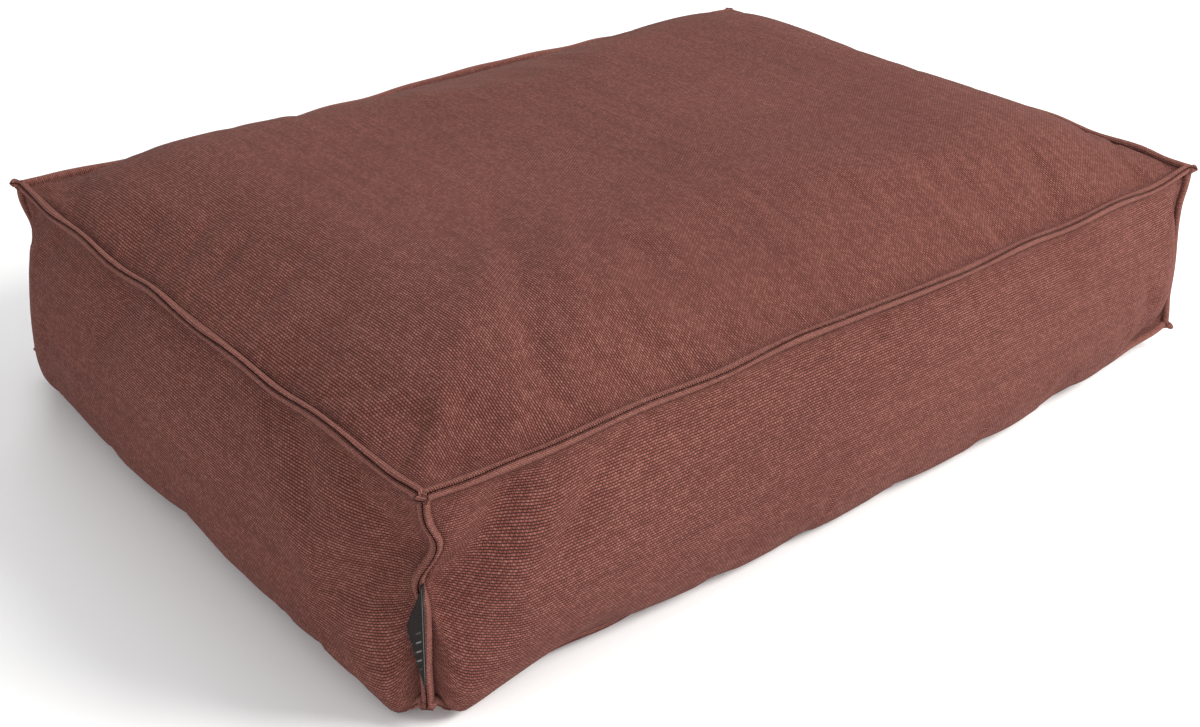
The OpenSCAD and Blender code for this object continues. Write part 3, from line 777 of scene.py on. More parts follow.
# Rings of a stitch: place in its length, thickness, and rise in thread radii
STITCH_RINGS = np.array(((-0.5, 0.30, -0.7), (-0.36, 0.95, 0.1), (0, 1.1, 0.45), (0.36, 0.95, 0.1),
                         (0.5, 0.30, -0.7)))
STITCH_SIDES = 6
# A row of stitches stops this far from its ends, and lies this far off the pinched cloth
ROW_INSET = 0.012
ROW_LIFT = 0.00005


def stitches(name, centres, along, out, length=STITCH_L, radius=THREAD_R):
    """Short threads, one at each centre: rings on an arch along the seam that sinks into the
    cloth at both ends, with a flat cap on each end."""
    angle = 2 * math.pi * np.arange(STITCH_SIDES) / STITCH_SIDES
    across = unit(np.cross(along, out))
    up = np.cross(across, along)
    s, r, rise = STITCH_RINGS.T
    middle = (centres[:, None] + along[:, None] * (s * length)[:, None]
              + up[:, None] * (rise * radius)[:, None])
    spokes = across[:, None] * np.cos(angle)[:, None] + up[:, None] * np.sin(angle)[:, None]
    points = middle[:, :, None] + (r * radius)[:, None, None] * spokes[:, None]
    count, rings = len(centres), len(s)
    quads = tube_faces(rings, STITCH_SIDES)
    first = np.arange(STITCH_SIDES)
    starts = rings * STITCH_SIDES * np.arange(count)[:, None, None]
    faces = (starts + quads).reshape(-1, 4).tolist()
    caps = np.stack([first[::-1], first + (rings - 1) * STITCH_SIDES])
    faces += (starts + caps).reshape(-1, STITCH_SIDES).tolist()
    along_uv = np.broadcast_to((s * length)[None, :, None], points.shape[:3])
    round_uv = np.broadcast_to(angle * radius, points.shape[:3])
    uv = np.stack([along_uv, round_uv], -1).reshape(-1, 2)
    return new_mesh(name, points.reshape(-1, 3), faces, uv)


def seam_line(face, side_u, side_v, drift):
    """Stitch centres, directions and outward directions along one edge of a face."""
    half = face["hu"] if side_v else face["hv"]
    count = int((2 * half - ROW_INSET) / STITCH_PITCH)
    place = (np.arange(count) - (count - 1) / 2) * STITCH_PITCH
    step = 0.001

    def points(shift):
        """The stitch line's cloth at places shifted along it."""
        if side_v:
            edge = np.full((1, count), side_v * face["hv"])
            return settled_points(face, place + shift, edge, drift)[0]
        return settled_points(face, np.array([side_u * face["hu"]]), (place + shift)[:, None], drift)[:, 0]

    here = points(0)
    along = unit(points(step) - points(-step))
    none = np.zeros(count, int)
    out = leaf_frame(face, side_u, side_v, place, place, none, none)[1]
    return here + (LEAF_BASE + ROW_LIFT) * out, along, unit(out + 0.25 * face["n"])


def seam_stitches(name, edges, drifts):
    """One piece of stitches along these edges: panel, and which of its edges."""
    lines = [seam_line(FACES[f], su, sv, drifts[f]) for f, su, sv in edges]
    return stitches(name, *(np.concatenate(part) for part in zip(*lines)))


# ---------------------------------------------------------------- shader helpers

def group(name, inputs, outputs):
    """A new shader node group with float outputs and float inputs, or a vector where an input
    has no value. Returns the group, its helper, and its two end nodes."""
    tree = bpy.data.node_groups.new(name, "ShaderNodeTree")
    for label, value in inputs:
        kind = "NodeSocketVector" if value is None else "NodeSocketFloat"
        made = tree.interface.new_socket(label, in_out="INPUT", socket_type=kind)
        if value is not None:
            made.default_value = value
    for label in outputs:
        tree.interface.new_socket(label, in_out="OUTPUT", socket_type="NodeSocketFloat")
    n = Nodes(tree)
    return tree, n, tree.nodes.new("NodeGroupInput").outputs, tree.nodes.new("NodeGroupOutput").inputs


class Nodes:
    """Short ways to add and join nodes in one tree."""

    def __init__(self, tree):
        self.tree = tree

    def add(self, kind, **settings):
        """A new node of a kind, with its settings."""
        made = self.tree.nodes.new("ShaderNode" + kind)
        for key, value in settings.items():
            setattr(made, key, value)
        return made

    def feed(self, socket, value):
        """Joins a socket to another, or gives it a value."""
        if isinstance(value, bpy.types.NodeSocket):
            self.tree.links.new(value, socket)
        elif value is not None:
            socket.default_value = value

    def math(self, operation, *values):
        """The result of a sum, product or other operation on values or sockets."""
        made = self.add("Math", operation=operation)
        for socket, value in zip(made.inputs, values):
            self.feed(socket, value)
        return made.outputs[0]

    def scaled(self, vector, scale, offset=(0, 0, 0)):
        """A vector scaled and moved."""
        made = self.add("Mapping")
        self.feed(made.inputs["Vector"], vector)
        made.inputs["Scale"].default_value = scale
        made.inputs["Location"].default_value = offset
        return made.outputs[0]

    def noise(self, vector, scale, detail=2.0, rough=0.5):
        """Soft noise at a vector."""
        made = self.add("TexNoise")
        self.feed(made.inputs["Vector"], vector)
        self.feed(made.inputs["Scale"], scale)
        made.inputs["Detail"].default_value = detail
        made.inputs["Roughness"].default_value = rough
        return made.outputs["Fac"]

    def white(self, value):
        """A random number for each value."""
        made = self.add("TexWhiteNoise", noise_dimensions="1D")
        self.feed(made.inputs["W"], value)
        return made.outputs["Value"]

    def between(self, value, low_in, high_in, low_out, high_out):
        """A value carried from one range to another and held inside it."""
        made = self.add("MapRange")
        for socket, item in zip(made.inputs, (value, low_in, high_in, low_out, high_out)):
            self.feed(socket, item)
        return made.outputs[0]

    def mix(self, share, first, second, kind="MIX"):
        """A share of the second colour in the first."""
        made = self.add("Mix", data_type="RGBA", blend_type=kind)
        for label, value in (("Factor_Float", share), ("A_Color", first), ("B_Color", second)):
            socket = next(k for k in made.inputs if k.identifier == label)
            self.feed(socket, value)
        return next(k for k in made.outputs if k.identifier == "Result_Color")

    def place(self, tree, **values):
        """A group node, with its inputs given by name."""
        made = self.add("Group", node_tree=tree)
        for label, value in values.items():
            self.feed(made.inputs[label.replace("_", " ")], value)
        return made

    def attribute(self, label):
        """A number kept on the mesh."""
        return self.add("Attribute", attribute_name=label).outputs["Fac"]

    def split(self, vector):
        """The x and y of a vector."""
        parts = self.add("SeparateXYZ")
        self.feed(parts.inputs[0], vector)
        return parts.outputs[0], parts.outputs[1]

    def cloth(self):
        """The place on the cloth, in metres."""
        return self.add("UVMap", uv_map="cloth").outputs[0]

    def where(self):
        """The place in the object."""
        return self.add("TexCoord").outputs["Object"]


def start_material(name):
    """A new material, and the helper for its nodes."""
    material = bpy.data.materials.new(name)
    material.use_nodes = True
    return material, Nodes(material.node_tree)


def finish_material(material, n, colour, rough, height, depth, **others):
    """Gives the main shader its colour, its roughness, a bump of this height and depth, and
    its other inputs by name."""
    bump = n.add("Bump")
    bump.inputs["Distance"].default_value = depth
    n.feed(bump.inputs["Height"], height)
    shader = material.node_tree.nodes["Principled BSDF"]
    inputs = {"Base_Color": colour, "Roughness": rough, "Normal": bump.outputs[0], **others}
    for label, value in inputs.items():
        n.feed(shader.inputs[label.replace("_", " ")], value)
    return material


def rgb(red, green, blue):
    """A colour given as the eye sees it, 0 to 255, made linear."""
    shades = (red, green, blue)
    return (*(((k / 255 + 0.055) / 1.055) ** 2.4 if k > 10 else k / 3294.6 for k in shades), 1.0)


def weave_group():
    """A plain weave: crowns on rows of weft, half a crown apart from row to row, with the warp
    showing between them. Thread paths and thicknesses wander a little."""
    tree, n, given, result = group(
        "weave", (("Cloth", None), ("Crown length", 0.0025), ("Row height", 0.00172), ("Wander", 0.25)),
        ("Height", "Crown", "Yarn"))
    x, y = n.split(given["Cloth"])
    x = n.math("DIVIDE", x, given["Crown length"])
    y = n.math("DIVIDE", y, given["Row height"])
    slow = n.noise(given["Cloth"], 90, 2)
    quick = n.noise(n.scaled(given["Cloth"], (1, 1, 1), (3.1, 1.7, 0)), 260, 2)
    sway = n.math("MULTIPLY", n.math("SUBTRACT", slow, 0.5), given["Wander"])
    shake = n.math("MULTIPLY", n.math("SUBTRACT", quick, 0.5), given["Wander"])
    y = n.math("ADD", y, n.math("MULTIPLY", sway, 3.0))
    row = n.math("FLOOR", y)
    across = n.math("SINE", n.math("MULTIPLY", n.math("SUBTRACT", y, row), math.pi))
    shift = n.math("MULTIPLY", n.math("PINGPONG", row, 1.0), 0.5)
    x = n.math("ADD", n.math("ADD", x, shift), n.math("MULTIPLY", shake, 2.0))
    wave = n.math("COSINE", n.math("MULTIPLY", x, 2 * math.pi))
    over = n.math("MULTIPLY_ADD", wave, 0.5, 0.5)
    thick = n.math("MULTIPLY_ADD", n.white(row), 0.3, 0.8)
    weft = n.math("MULTIPLY", n.math("MULTIPLY", n.math("POWER", across, 0.6), thick),
                  n.math("MULTIPLY_ADD", n.math("POWER", over, 0.8), 0.75, 0.25))
    under = n.math("SUBTRACT", 1.0, over)
    warp = n.math("MULTIPLY", n.math("POWER", under, 1.6), n.math("MULTIPLY_ADD", across, 0.42, 0.22))
    height = n.math("SMOOTH_MAX", weft, warp, 0.15)
    cell = n.math("FLOOR", n.math("ADD", x, 0.5))
    yarn = n.white(n.math("MULTIPLY_ADD", row, 17.31, n.math("MULTIPLY", cell, 3.77)))
    n.feed(result["Height"], height)
    n.feed(result["Crown"], n.between(height, 0.22, 0.78, 0.0, 1.0))
    n.feed(result["Yarn"], yarn)
    return tree


def dye_group():
    """Slow light and dark clouds over the whole object, from two sizes of noise."""
    tree, n, given, result = group("dye", (("Size", 6.0),), ("Shade",))
    where = n.where()
    wide = n.noise(where, given["Size"], 3)
    near = n.noise(where, n.math("MULTIPLY", given["Size"], 7.0), 3, 0.6)
    both = n.math("MULTIPLY_ADD", near, 0.4, n.math("MULTIPLY", wide, 0.6))
    n.feed(result["Shade"], n.between(both, 0.3, 0.7, 0.0, 1.0))
    return tree


def fluff_group():
    """Loose fibres on the surface: very fine stretched noise in two directions."""
    tree, n, given, result = group("fluff", (("Cloth", None),), ("Fibre",))
    both = [n.noise(n.scaled(given["Cloth"], scale), 1.0, 3, 0.6)
            for scale in ((900, 3200, 1), (3200, 900, 1))]
    n.feed(result["Fibre"], n.math("MAXIMUM", *both))
    return tree


WEAVE, DYE, FLUFF = weave_group(), dye_group(), fluff_group()


def cloth_material(name, gap, crown, tip, crown_l, row_h, depth, sheen=0.08, wander=0.22,
                   edges=True, rough=0.92):
    """Woven cloth: painted shade between the threads and lighter crowns, random pale crown tips that are
    partly yarn tone and partly painted highlight, clouded by the dye, paled along the crests of folds by
    wear and a painted highlight, and darkened down in the seams by painted shade."""
    gap, crown, tip = rgb(*gap), rgb(*crown), rgb(*tip)
    material, n = start_material(name)
    cloth = n.cloth()
    weave = n.place(WEAVE, Cloth=cloth, Crown_length=crown_l, Row_height=row_h, Wander=wander)
    shade = n.place(DYE, Size=6.0).outputs["Shade"]
    fibre = n.place(FLUFF, Cloth=cloth).outputs["Fibre"]
    # Painted shade: the low places between the threads take the dark gap colour, the raised crowns the crown
    # colour
    colour = n.mix(weave.outputs["Crown"], gap, crown)
    # Random pale tips on the crowns: partly yarn tone, partly painted highlight
    light = n.math("MULTIPLY", n.between(weave.outputs["Yarn"], 0.35, 1.0, 0.0, 0.5), weave.outputs["Crown"])
    colour = n.mix(light, colour, tip)
    colour = n.mix(n.between(fibre, 0.6, 0.85, 0.0, 0.25), colour, tip)
    dark = n.mix(1.0, colour, (0.80, 0.74, 0.74, 1), "MULTIPLY")
    colour = n.mix(shade, dark, colour)
    if edges:
        # The crests of the flanges and hems paled: partly wear, partly painted highlight
        worn = n.math("MULTIPLY", n.attribute("rub_and_highlight"), n.between(fibre, 0.45, 0.75, 0.15, 0.55))
        colour = n.mix(worn, colour, tip)
        # Painted shade down in the seams and in the groove of each flange
        deep_shade = n.mix(1.0, colour, (0.42, 0.33, 0.33, 1), "MULTIPLY")
        colour = n.mix(n.math("MULTIPLY", n.attribute("seam_shade"), 0.35), colour, deep_shade)
    return finish_material(
        material, n, colour, n.between(fibre, 0.3, 0.8, rough - 0.08, min(1.0, rough + 0.06)),
        n.math("MULTIPLY_ADD", fibre, 0.15, weave.outputs["Height"]), depth,
        Sheen_Weight=sheen, Sheen_Roughness=0.55, Sheen_Tint=tip, Specular_IOR_Level=0.2)


def thread_material(name, dark, light):
    """Twisted sewing thread: slanting plies, with painted shade between them."""
    dark, light = rgb(*dark), rgb(*light)
    material, n = start_material(name)
    along, around = n.split(n.cloth())
    slant = n.math("ADD", n.math("MULTIPLY", along, 1500), n.math("MULTIPLY", around, 2800))
    ply = n.math("MULTIPLY_ADD", n.math("SINE", n.math("MULTIPLY", slant, math.pi)), 0.5, 0.5)
    shade = n.place(DYE, Size=14.0).outputs["Shade"]
    # Painted shade: the dark colour lies in the valleys between the plies
    colour = n.mix(n.math("MULTIPLY", shade, 0.25), n.mix(ply, dark, light), light)
    return finish_material(material, n, colour, n.between(ply, 0, 1, 0.75, 0.55), ply, 0.00012,
                           Sheen_Weight=0.15)


def metal_material(name, base, worn):
    """Painted zip metal: fine grain, and paint rubbed to a paler metal in spots."""
    material, n = start_material(name)
    where = n.where()
    grain = n.noise(where, 900, 4, 0.6)
    spots = n.between(n.noise(where, 420, 3), 0.58, 0.72, 0.0, 0.5)
    return finish_material(material, n, n.mix(spots, rgb(*base), rgb(*worn)),
                           n.between(grain, 0.3, 0.7, 0.28, 0.5), grain, 0.00005,
                           Metallic=n.between(spots, 0.0, 0.5, 0.75, 1.0))


def nylon_material():
    """Zip coil: glossy nylon with faint ribs along the wire."""
    material, n = start_material("zip_nylon")
    ribs = n.noise(n.scaled(n.where(), (4000, 900, 900)), 1.0, 2)
    return finish_material(material, n, n.mix(ribs, rgb(58, 30, 27), rgb(92, 52, 46)),
                           n.between(ribs, 0.3, 0.7, 0.25, 0.42), ribs, 0.00004)


def label_material():
    """Black woven ribbon: fine satin ribs, a thin pale border line and a short row of plain
    bars near its lower end, woven a little raised."""
    material, n = start_material("label_ribbon")
    cloth = n.cloth()
    weave = n.place(WEAVE, Cloth=cloth, Crown_length=0.0007, Row_height=0.0004, Wander=0.1)
    out, up = n.split(cloth)
    out = n.math("ABSOLUTE", out)
    middle = (low("side_label")[2] + high("side_label")[2]) / 2

    def band(value, centre, half):
        """1 within half of a centre, 0 outside."""
        away = n.math("ABSOLUTE", n.math("SUBTRACT", value, centre))
        return n.between(away, half * 0.7, half * 1.3, 1.0, 0.0)

    rows = n.math("PINGPONG", n.math("SUBTRACT", up, middle - 0.022), 0.0035)
    bars = n.math("MULTIPLY", band(rows, 0.0, 0.0006), band(out, 0.0042, 0.0016))
    bars = n.math("MULTIPLY", bars, band(up, middle - 0.008, 0.0125))
    border = n.math("MULTIPLY", band(out, 0.0009, 0.00022), band(up, middle, 0.033))
    mark = n.math("MAXIMUM", bars, border)
    # Painted shade: the darker black lies in the low places between the satin ribs
    base = n.mix(weave.outputs["Crown"], rgb(12, 9, 8), rgb(34, 27, 25))
    shade = n.place(DYE, Size=30.0).outputs["Shade"]
    base = n.mix(n.math("MULTIPLY", shade, 0.35), base, rgb(34, 31, 30))
    colour = n.mix(n.math("MULTIPLY", mark, 0.7), base, rgb(120, 120, 118))
    return finish_material(material, n, colour, n.between(weave.outputs["Crown"], 0, 1, 0.7, 0.5),
                           n.math("MULTIPLY_ADD", mark, 0.8, weave.outputs["Height"]), 0.00012,
                           Specular_IOR_Level=0.12)


def fibre_material():
    """Polyester fibre: white tangles with soft hollows between them, painted grey in the hollows as shade."""
    material, n = start_material("fibre_tangle")
    where = n.where()
    clump = n.noise(where, 45, 4, 0.6)
    strand = n.noise(n.scaled(where, (700, 2200, 1400)), 1.0, 3, 0.7)
    # Painted shade: the grey lies where the clumps are low
    return finish_material(material, n, n.mix(clump, rgb(206, 204, 198), rgb(244, 243, 240)),
                           n.between(strand, 0.3, 0.7, 0.85, 1.0),
                           n.math("MULTIPLY_ADD", strand, 0.3, clump), 0.002, Sheen_Weight=0.5)


CANVAS = cloth_material("canvas_weave", (38, 15, 13), (137, 81, 71), (173, 118, 106),
                        0.0025, 0.00172, 0.0010)
THREAD = thread_material("canvas_thread", (68, 35, 31), (112, 68, 61))
TAPE = cloth_material("zip_tape_twill", (52, 28, 25), (96, 58, 52), (112, 72, 64),
                      0.0011, 0.0006, 0.0002, sheen=0.1, wander=0.08, edges=False, rough=0.8)
LINING = cloth_material("casing_lining", (196, 193, 186), (234, 232, 227), (244, 243, 240),
                        0.0009, 0.0007, 0.0002, sheen=0.1, wander=0.1, edges=False, rough=0.85)
NYLON = nylon_material()
METAL = metal_material("zip_lacquer", (56, 48, 46), (118, 110, 105))
LABEL = label_material()
FIBRE = fibre_material()
PALE_THREAD = thread_material("casing_thread", (188, 186, 180), (240, 238, 233))


# ---------------------------------------------------------------- making the cover

def finish_piece(piece, body, material, node):
    """Gives a piece its material, puts it under its body, and hides the node it stands for."""
    piece.data.materials.clear()
    piece.data.materials.append(material)
    if body:
        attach(piece, body)
    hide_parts(node)


drifts = simulate_cover()
ALLOWANCE = 2 * FLANGE_W + 0.006
BACK_SHARES = {"back_panel_upper": 0.465, "back_panel_lower": 0.535}
PANELS = [(side, side, None, None) for side in ("top_panel", "front_panel", "left_panel", "right_panel")]
PANELS += [("back_panel_upper", "back_panel", slot_top, None),
           ("back_panel_lower", "back_panel", None, slot_bottom),
           ("bottom_panel", "bottom_panel", None, None)]
for node, side, v_low, v_high in PANELS:
    face = FACES[side]
    panel = cover_panel(node, face, drifts[side], v_low, v_high)
    finish_piece(panel, "cover", CANVAS, node)
    tall = (SIDE_CUT if side in SIDES else 2 * face["hv"]) + ALLOWANCE
    if node in BACK_SHARES:
        tall = (tall - ZIP_WINDOW) * BACK_SHARES[node] + 0.006


def level_edges(panel, way):
    """The edges that meet all round the top or the bottom panel."""
    return ([(panel, 0, 1), (panel, 0, -1), (panel, 1, 0), (panel, -1, 0)]
            + [(side, 0, way) for side in SIDES])


SEAMS = (("top_seam_thread", "top_seam_stitches", level_edges("top_panel", 1)),
         ("bottom_seam_thread", "bottom_seam_stitches", level_edges("bottom_panel", -1)),
         ("corner_seam_threads", "corner_seam_stitches",
          [(side, turn, 0) for side in SIDES for turn in (-1, 1)]))
for node, name, edges in SEAMS:
    finish_piece(seam_stitches(name, edges, drifts), "cover", THREAD, node)


# ---------------------------------------------------------------- zip

COIL_PITCH = 0.0015
# How far each coil reaches past the middle, between the turns of the other
COIL_MESH = 0.0004
WIRE_R = 0.0003
WIRE_SIDES = 5
TURN_STEPS = 10
ROW_IN = 0.0025
TACK_L, TACK_R = 0.0026, 0.00024
TACK_PITCH = 0.00036
STOP_SPLIT = 0.0003


def hung_cloth(name, node, x, y, z, thickness, material):
    """A small upright cloth whose places on the cloth are x and z."""
    made = grid_mesh(name, np.stack([x, y, z], -1), np.stack([x, z], -1), thickness)
    finish_piece(made, "cover", material, node)


def zip_tape(node):
    """A woven tape: a flat strip with its face where the tape lies, thicker at both edges."""
    a, b = low(node), high(node)
    x, z = np.meshgrid(np.linspace(b[0], a[0], 117), np.linspace(a[2], b[2], 14))
    edge = np.minimum(z - a[2], b[2] - z)
    y = b[1] - 0.00012 * smooth(edge / 0.0012)
    hung_cloth(node + "_woven", node, x, y, z, 0.0005, TAPE)


def zip_coil(node, side):
    """A nylon coil: a round wire wound on a flat oval along the tape. The point at angle w is
    one pitch further for each turn, up by the sine and across by the cosine of w."""
    a, b = low(node), high(node)
    if side > 0:
        a[2] = ZIP_Z - COIL_MESH
    else:
        b[2] = ZIP_Z + COIL_MESH
    turns = (b[0] - a[0]) / COIL_PITCH
    w = np.linspace(0, 2 * math.pi * turns, int(turns * TURN_STEPS)) + (math.pi if side > 0 else 0)
    wide, tall = (b[2] - a[2]) / 2 - WIRE_R, (b[1] - a[1]) / 2 - WIRE_R
    middle = np.array((0, (a[1] + b[1]) / 2, (a[2] + b[2]) / 2))
    turned = (np.linspace(a[0], b[0], len(w)), tall * np.sin(w), side * wide * -np.cos(w))
    path = np.stack(turned, -1) + middle
    way = unit(np.gradient(path, axis=0))
    outward = unit(path - middle - path[:, :1] * (1, 0, 0))
    across = unit(np.cross(way, outward))
    outward = np.cross(across, way)
    angle = 2 * math.pi * np.arange(WIRE_SIDES) / WIRE_SIDES
    spokes = outward[:, None] * np.cos(angle)[:, None] + across[:, None] * np.sin(angle)[:, None]
    points = path[:, None] + WIRE_R * spokes
    faces = tube_faces(len(w), WIRE_SIDES).tolist()
    last = (len(w) - 1) * WIRE_SIDES
    faces += [list(range(WIRE_SIDES))[::-1], list(range(last, last + WIRE_SIDES))]
    coil = new_mesh(node + "_wound", points.reshape(-1, 3), faces)
    finish_piece(coil, "cover", NYLON, node)


def back_line(x, z):
    """Points on the back panel's cloth at places x and heights z."""
    face, drift = FACES["back_panel"], drifts["back_panel"]
    return np.stack([settled_points(face, np.array([u]), np.array([[v]]), drift)[0, 0]
                     for u, v in zip(-x, cloth_place(-x, z))])


def zip_thread(name, node, x, z, lift, *size):
    """Stitches at places x and heights z on the cloth round the zip, lifted off it."""
    centres = back_line(x, z)
    along = np.broadcast_to((-1.0, 0, 0), centres.shape)
    out = np.broadcast_to((0, 1.0, 0), centres.shape)
    rows = stitches(name, centres + out * lift, along, out, *size)
    finish_piece(rows, "cover", THREAD, node)


def zip_seams():
    """The two rows that hold the turned cloth to the tapes, and the bar tacks at the ends."""
    count = int(2 * ZIP_HALF / STITCH_PITCH)
    x = (np.arange(count) - (count - 1) / 2) * STITCH_PITCH
    off = slot_half(0) + HEM_R + ROW_IN
    zip_thread("zip_rows", "zip_stitching", np.tile(x, 2), ZIP_Z + np.repeat((-off, off), count), 0.0001)
    a, b = low("zip_bar_tacks"), high("zip_bar_tacks")
    z = np.arange(a[2] + 0.0004, b[2] - 0.0003, TACK_PITCH)
    x = np.repeat((-1, 1), len(z)) * (b[0] - 0.001)
    zip_thread("zip_bar_tack_threads", "zip_bar_tacks", x, np.tile(z, 2), 0.0002, TACK_L, TACK_R)


def zip_stop(node, spans):
    """Crimped stops, one block between each pair of heights: a sphere's coordinates to the
    power 0.4, which squares it off with soft edges, and a flat cap on each end."""
    a, b = low(node), high(node)
    rings, sides = 12, 24
    turn = 2 * math.pi * np.arange(sides) / sides
    around, up = np.meshgrid(turn, np.radians(np.linspace(-78, 78, rings)))
    ball = np.stack([np.cos(up) * np.cos(around), np.cos(up) * np.sin(around), np.sin(up)], -1)
    block = (np.sign(ball) * np.abs(ball) ** 0.4).reshape(-1, 3)
    last = (rings - 1) * sides
    quads = tube_faces(rings, sides)
    caps = np.stack([np.arange(sides)[::-1], last + np.arange(sides)])
    points, faces = [], []
    for k, (bottom, top) in enumerate(spans):
        middle = np.array((a[0] + b[0], a[1] + b[1], bottom + top)) / 2
        points.append(middle + block * (b[0] - middle[0], b[1] - middle[1], top - middle[2]))
        faces += (quads + k * len(block)).tolist() + (caps + k * len(block)).tolist()
    stop = new_mesh(node + "_crimped", np.concatenate(points), faces)
    finish_piece(stop, "cover", METAL, node)


def zip_metalwork():
    """The slider and pull keep their shape, with their edges eased."""
    for node in ("zip_slider", "zip_pull"):
        part = frame["nodes"][node]
        part.data.materials.clear()
        part.data.materials.append(METAL)
        ease = part.modifiers.new("eased_edges", "BEVEL")
        ease.width = 0.00025
        ease.segments = 2
        ease.limit_method = "ANGLE"
        ease.angle_limit = math.radians(40)


# ---------------------------------------------------------------- labels

LABEL_ROOT = 0.0032
LABEL_GAP = 0.00030
LABEL_CLOTH = 0.00022
# Outline of the side label: share of its height, and how far it stands out
LABEL_EDGE = np.array((
    (0, 0.0008), (0.08, 0.0021), (0.30, 0.0056), (0.50, 0.0088), (0.60, 0.0104), (0.68, 0.0110),
    (0.74, 0.0098), (0.86, 0.0052), (0.96, 0.0016), (1, 0.0008)))
# Direction the label turns to, and the length of that turn
LABEL_TURN = math.radians(170)
LABEL_SOFT = 0.0009


def side_label():
    """A woven ribbon folded in two and caught askew in the corner seam. Across it, s runs from
    one rooted end over the fold, at 0, to the other; up it, the width follows LABEL_EDGE. It
    leaves the seam along the flange and turns to its own direction within a millimetre."""
    a, b = low("side_label"), high("side_label")
    joints = frame["record"]["behaviour"]["joints"]
    hinge = next(np.array(j["pos_m"]) for j in joints if j["name"] == "label_flap")
    rows = np.linspace(0, 1, 90)
    s = np.linspace(-1, 1, 41)
    width = np.interp(rows, *LABEL_EDGE.T) + LABEL_ROOT
    run = width[:, None] * (1 - np.abs(s)) - LABEL_ROOT
    way = np.array((math.cos(LABEL_TURN), math.sin(LABEL_TURN), 0))
    root = np.array((-1, -1, 0)) / math.sqrt(2)
    past = LABEL_SOFT * np.log1p(np.exp(np.clip(run / LABEL_SOFT, -30, 30)))
    z = a[2] + rows * (b[2] - a[2])
    curl = 0.0007 * np.sin(rows * 5.2)[:, None] * (np.clip(run, 0, 1) / 0.011) ** 2
    gap = LABEL_GAP * np.clip(np.abs(s) * width[:, None] / 0.0012, 0, 1) ** 0.5 * np.sign(s)
    side = np.cross(way, (0, 0, 1))
    points = (hinge * (1, 1, 0) + past[..., None] * way + (run - past)[..., None] * root
              + (gap + curl)[..., None] * side + z[:, None, None] * np.array((0, 0, 1)))
    uv = np.stack([run * np.where(s < 0, 1, -1), np.broadcast_to(z[:, None], run.shape)], -1)
    label = apply_modifiers(grid_mesh("side_label_ribbon", points, uv, LABEL_CLOTH))
    finish_piece(label, None, LABEL, "side_label")
    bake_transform(label)


def care_label():
    """A small satin label behind the zip, bowed a little between its corners."""
    a, b = low("care_label"), high("care_label")
    x, z = np.meshgrid(np.linspace(b[0], a[0], 24), np.linspace(a[2], b[2], 26))
    share_x, share_z = (x - a[0]) / (b[0] - a[0]), (z - a[2]) / (b[2] - a[2])
    y = b[1] - (b[1] - a[1]) * share_z**1.5 - 0.0006 * np.sin(math.pi * share_x)
    hung_cloth("care_label_satin", "care_label", x, y, z, 0.0003, LINING)


# ---------------------------------------------------------------- inner cushion

CASING_GAP = 0.0115
CASING_A, CASING_B = HALF_L - CASING_GAP, HALF_W - CASING_GAP
CASING_R = 0.042
CASING_LOW, CASING_HIGH = STITCH_LOW + 0.0095, STITCH_HIGH - 0.0095
CASING_FOOT = 0.0042
CASING_BELLY = 0.019
CASING_CROWN = CROWN - 0.002
CASING_T = 0.0007
# The fibre stays this far inside the casing
FILL_INSET = 0.0022
CASING_STITCH = 0.005


def casing_loop(inset):
    """Points round a rectangle with round corners, with the outward direction at each and how
    much of the side's bulge it takes."""
    r = CASING_R - inset
    a, b = CASING_A - inset - r, CASING_B - inset - r
    parts = []
    for k, (cx, cy) in enumerate(((a, b), (-a, b), (-a, -b), (a, -b))):
        t = math.pi / 2 * (k + np.linspace(0, 1, 9))
        ring = np.stack([cx + r * np.cos(t), cy + r * np.sin(t), np.cos(t), np.sin(t), 0 * t], -1)
        nx, ny = ((-a, b), (-a, -b), (a, -b), (a, b))[k]
        length = abs(nx - cx) + abs(ny - cy)
        s = np.arange(1, 40) / 40
        ox, oy = ring[-1, 2:4]
        bulge = roll(length * np.minimum(s, 1 - s), 0.1)
        parts += [ring, np.stack([cx + s * (nx - cx) + r * ox, cy + s * (ny - cy) + r * oy,
                                  ox + 0 * s, oy + 0 * s, bulge], -1)]
    return np.concatenate(parts)


def puckers(ring, z, size):
    """Soft gathers of the casing: two crossed sines of the place round it and the height."""
    way = np.arctan2(ring[:, 1], ring[:, 0])
    return size * np.sin(way[None, :] * 23 + 40 * z) * np.sin(way[None, :] * 9 - 60 * z)


def casing_band_points(inset):
    """The casing's side: out by a flattened half sine of the height, plus puckers."""
    ring = casing_loop(inset)
    share = np.linspace(0, 1, 25)[:, None]
    z = (CASING_LOW + inset) + share * (CASING_HIGH - CASING_LOW - 2 * inset)
    swell = np.sin(math.pi * share)
    out = CASING_BELLY * ring[:, 4] * swell**0.8 + puckers(ring, z, 0.0008) * swell
    return np.stack([ring[:, 0] + out * ring[:, 2], ring[:, 1] + out * ring[:, 3], z + 0 * out], -1)


def casing_dome_points(inset, edge, rise, reach):
    """The casing's top or bottom as rings that shrink to its middle: each rises with its
    distance from the edge, plus puckers halfway in."""
    ring = casing_loop(inset)
    s = np.cos(np.linspace(0, math.pi / 2, 31)[:-1])[:, None]
    gathers = puckers(ring, s, 0.0007) * (1 - s) * s * 4 * np.sign(rise)
    z = edge + rise * roll((1 - s) * CASING_B, reach) + gathers
    return np.stack([ring[:, 0] * s, ring[:, 1] * s, z + 0 * ring[:, 0]], -1)


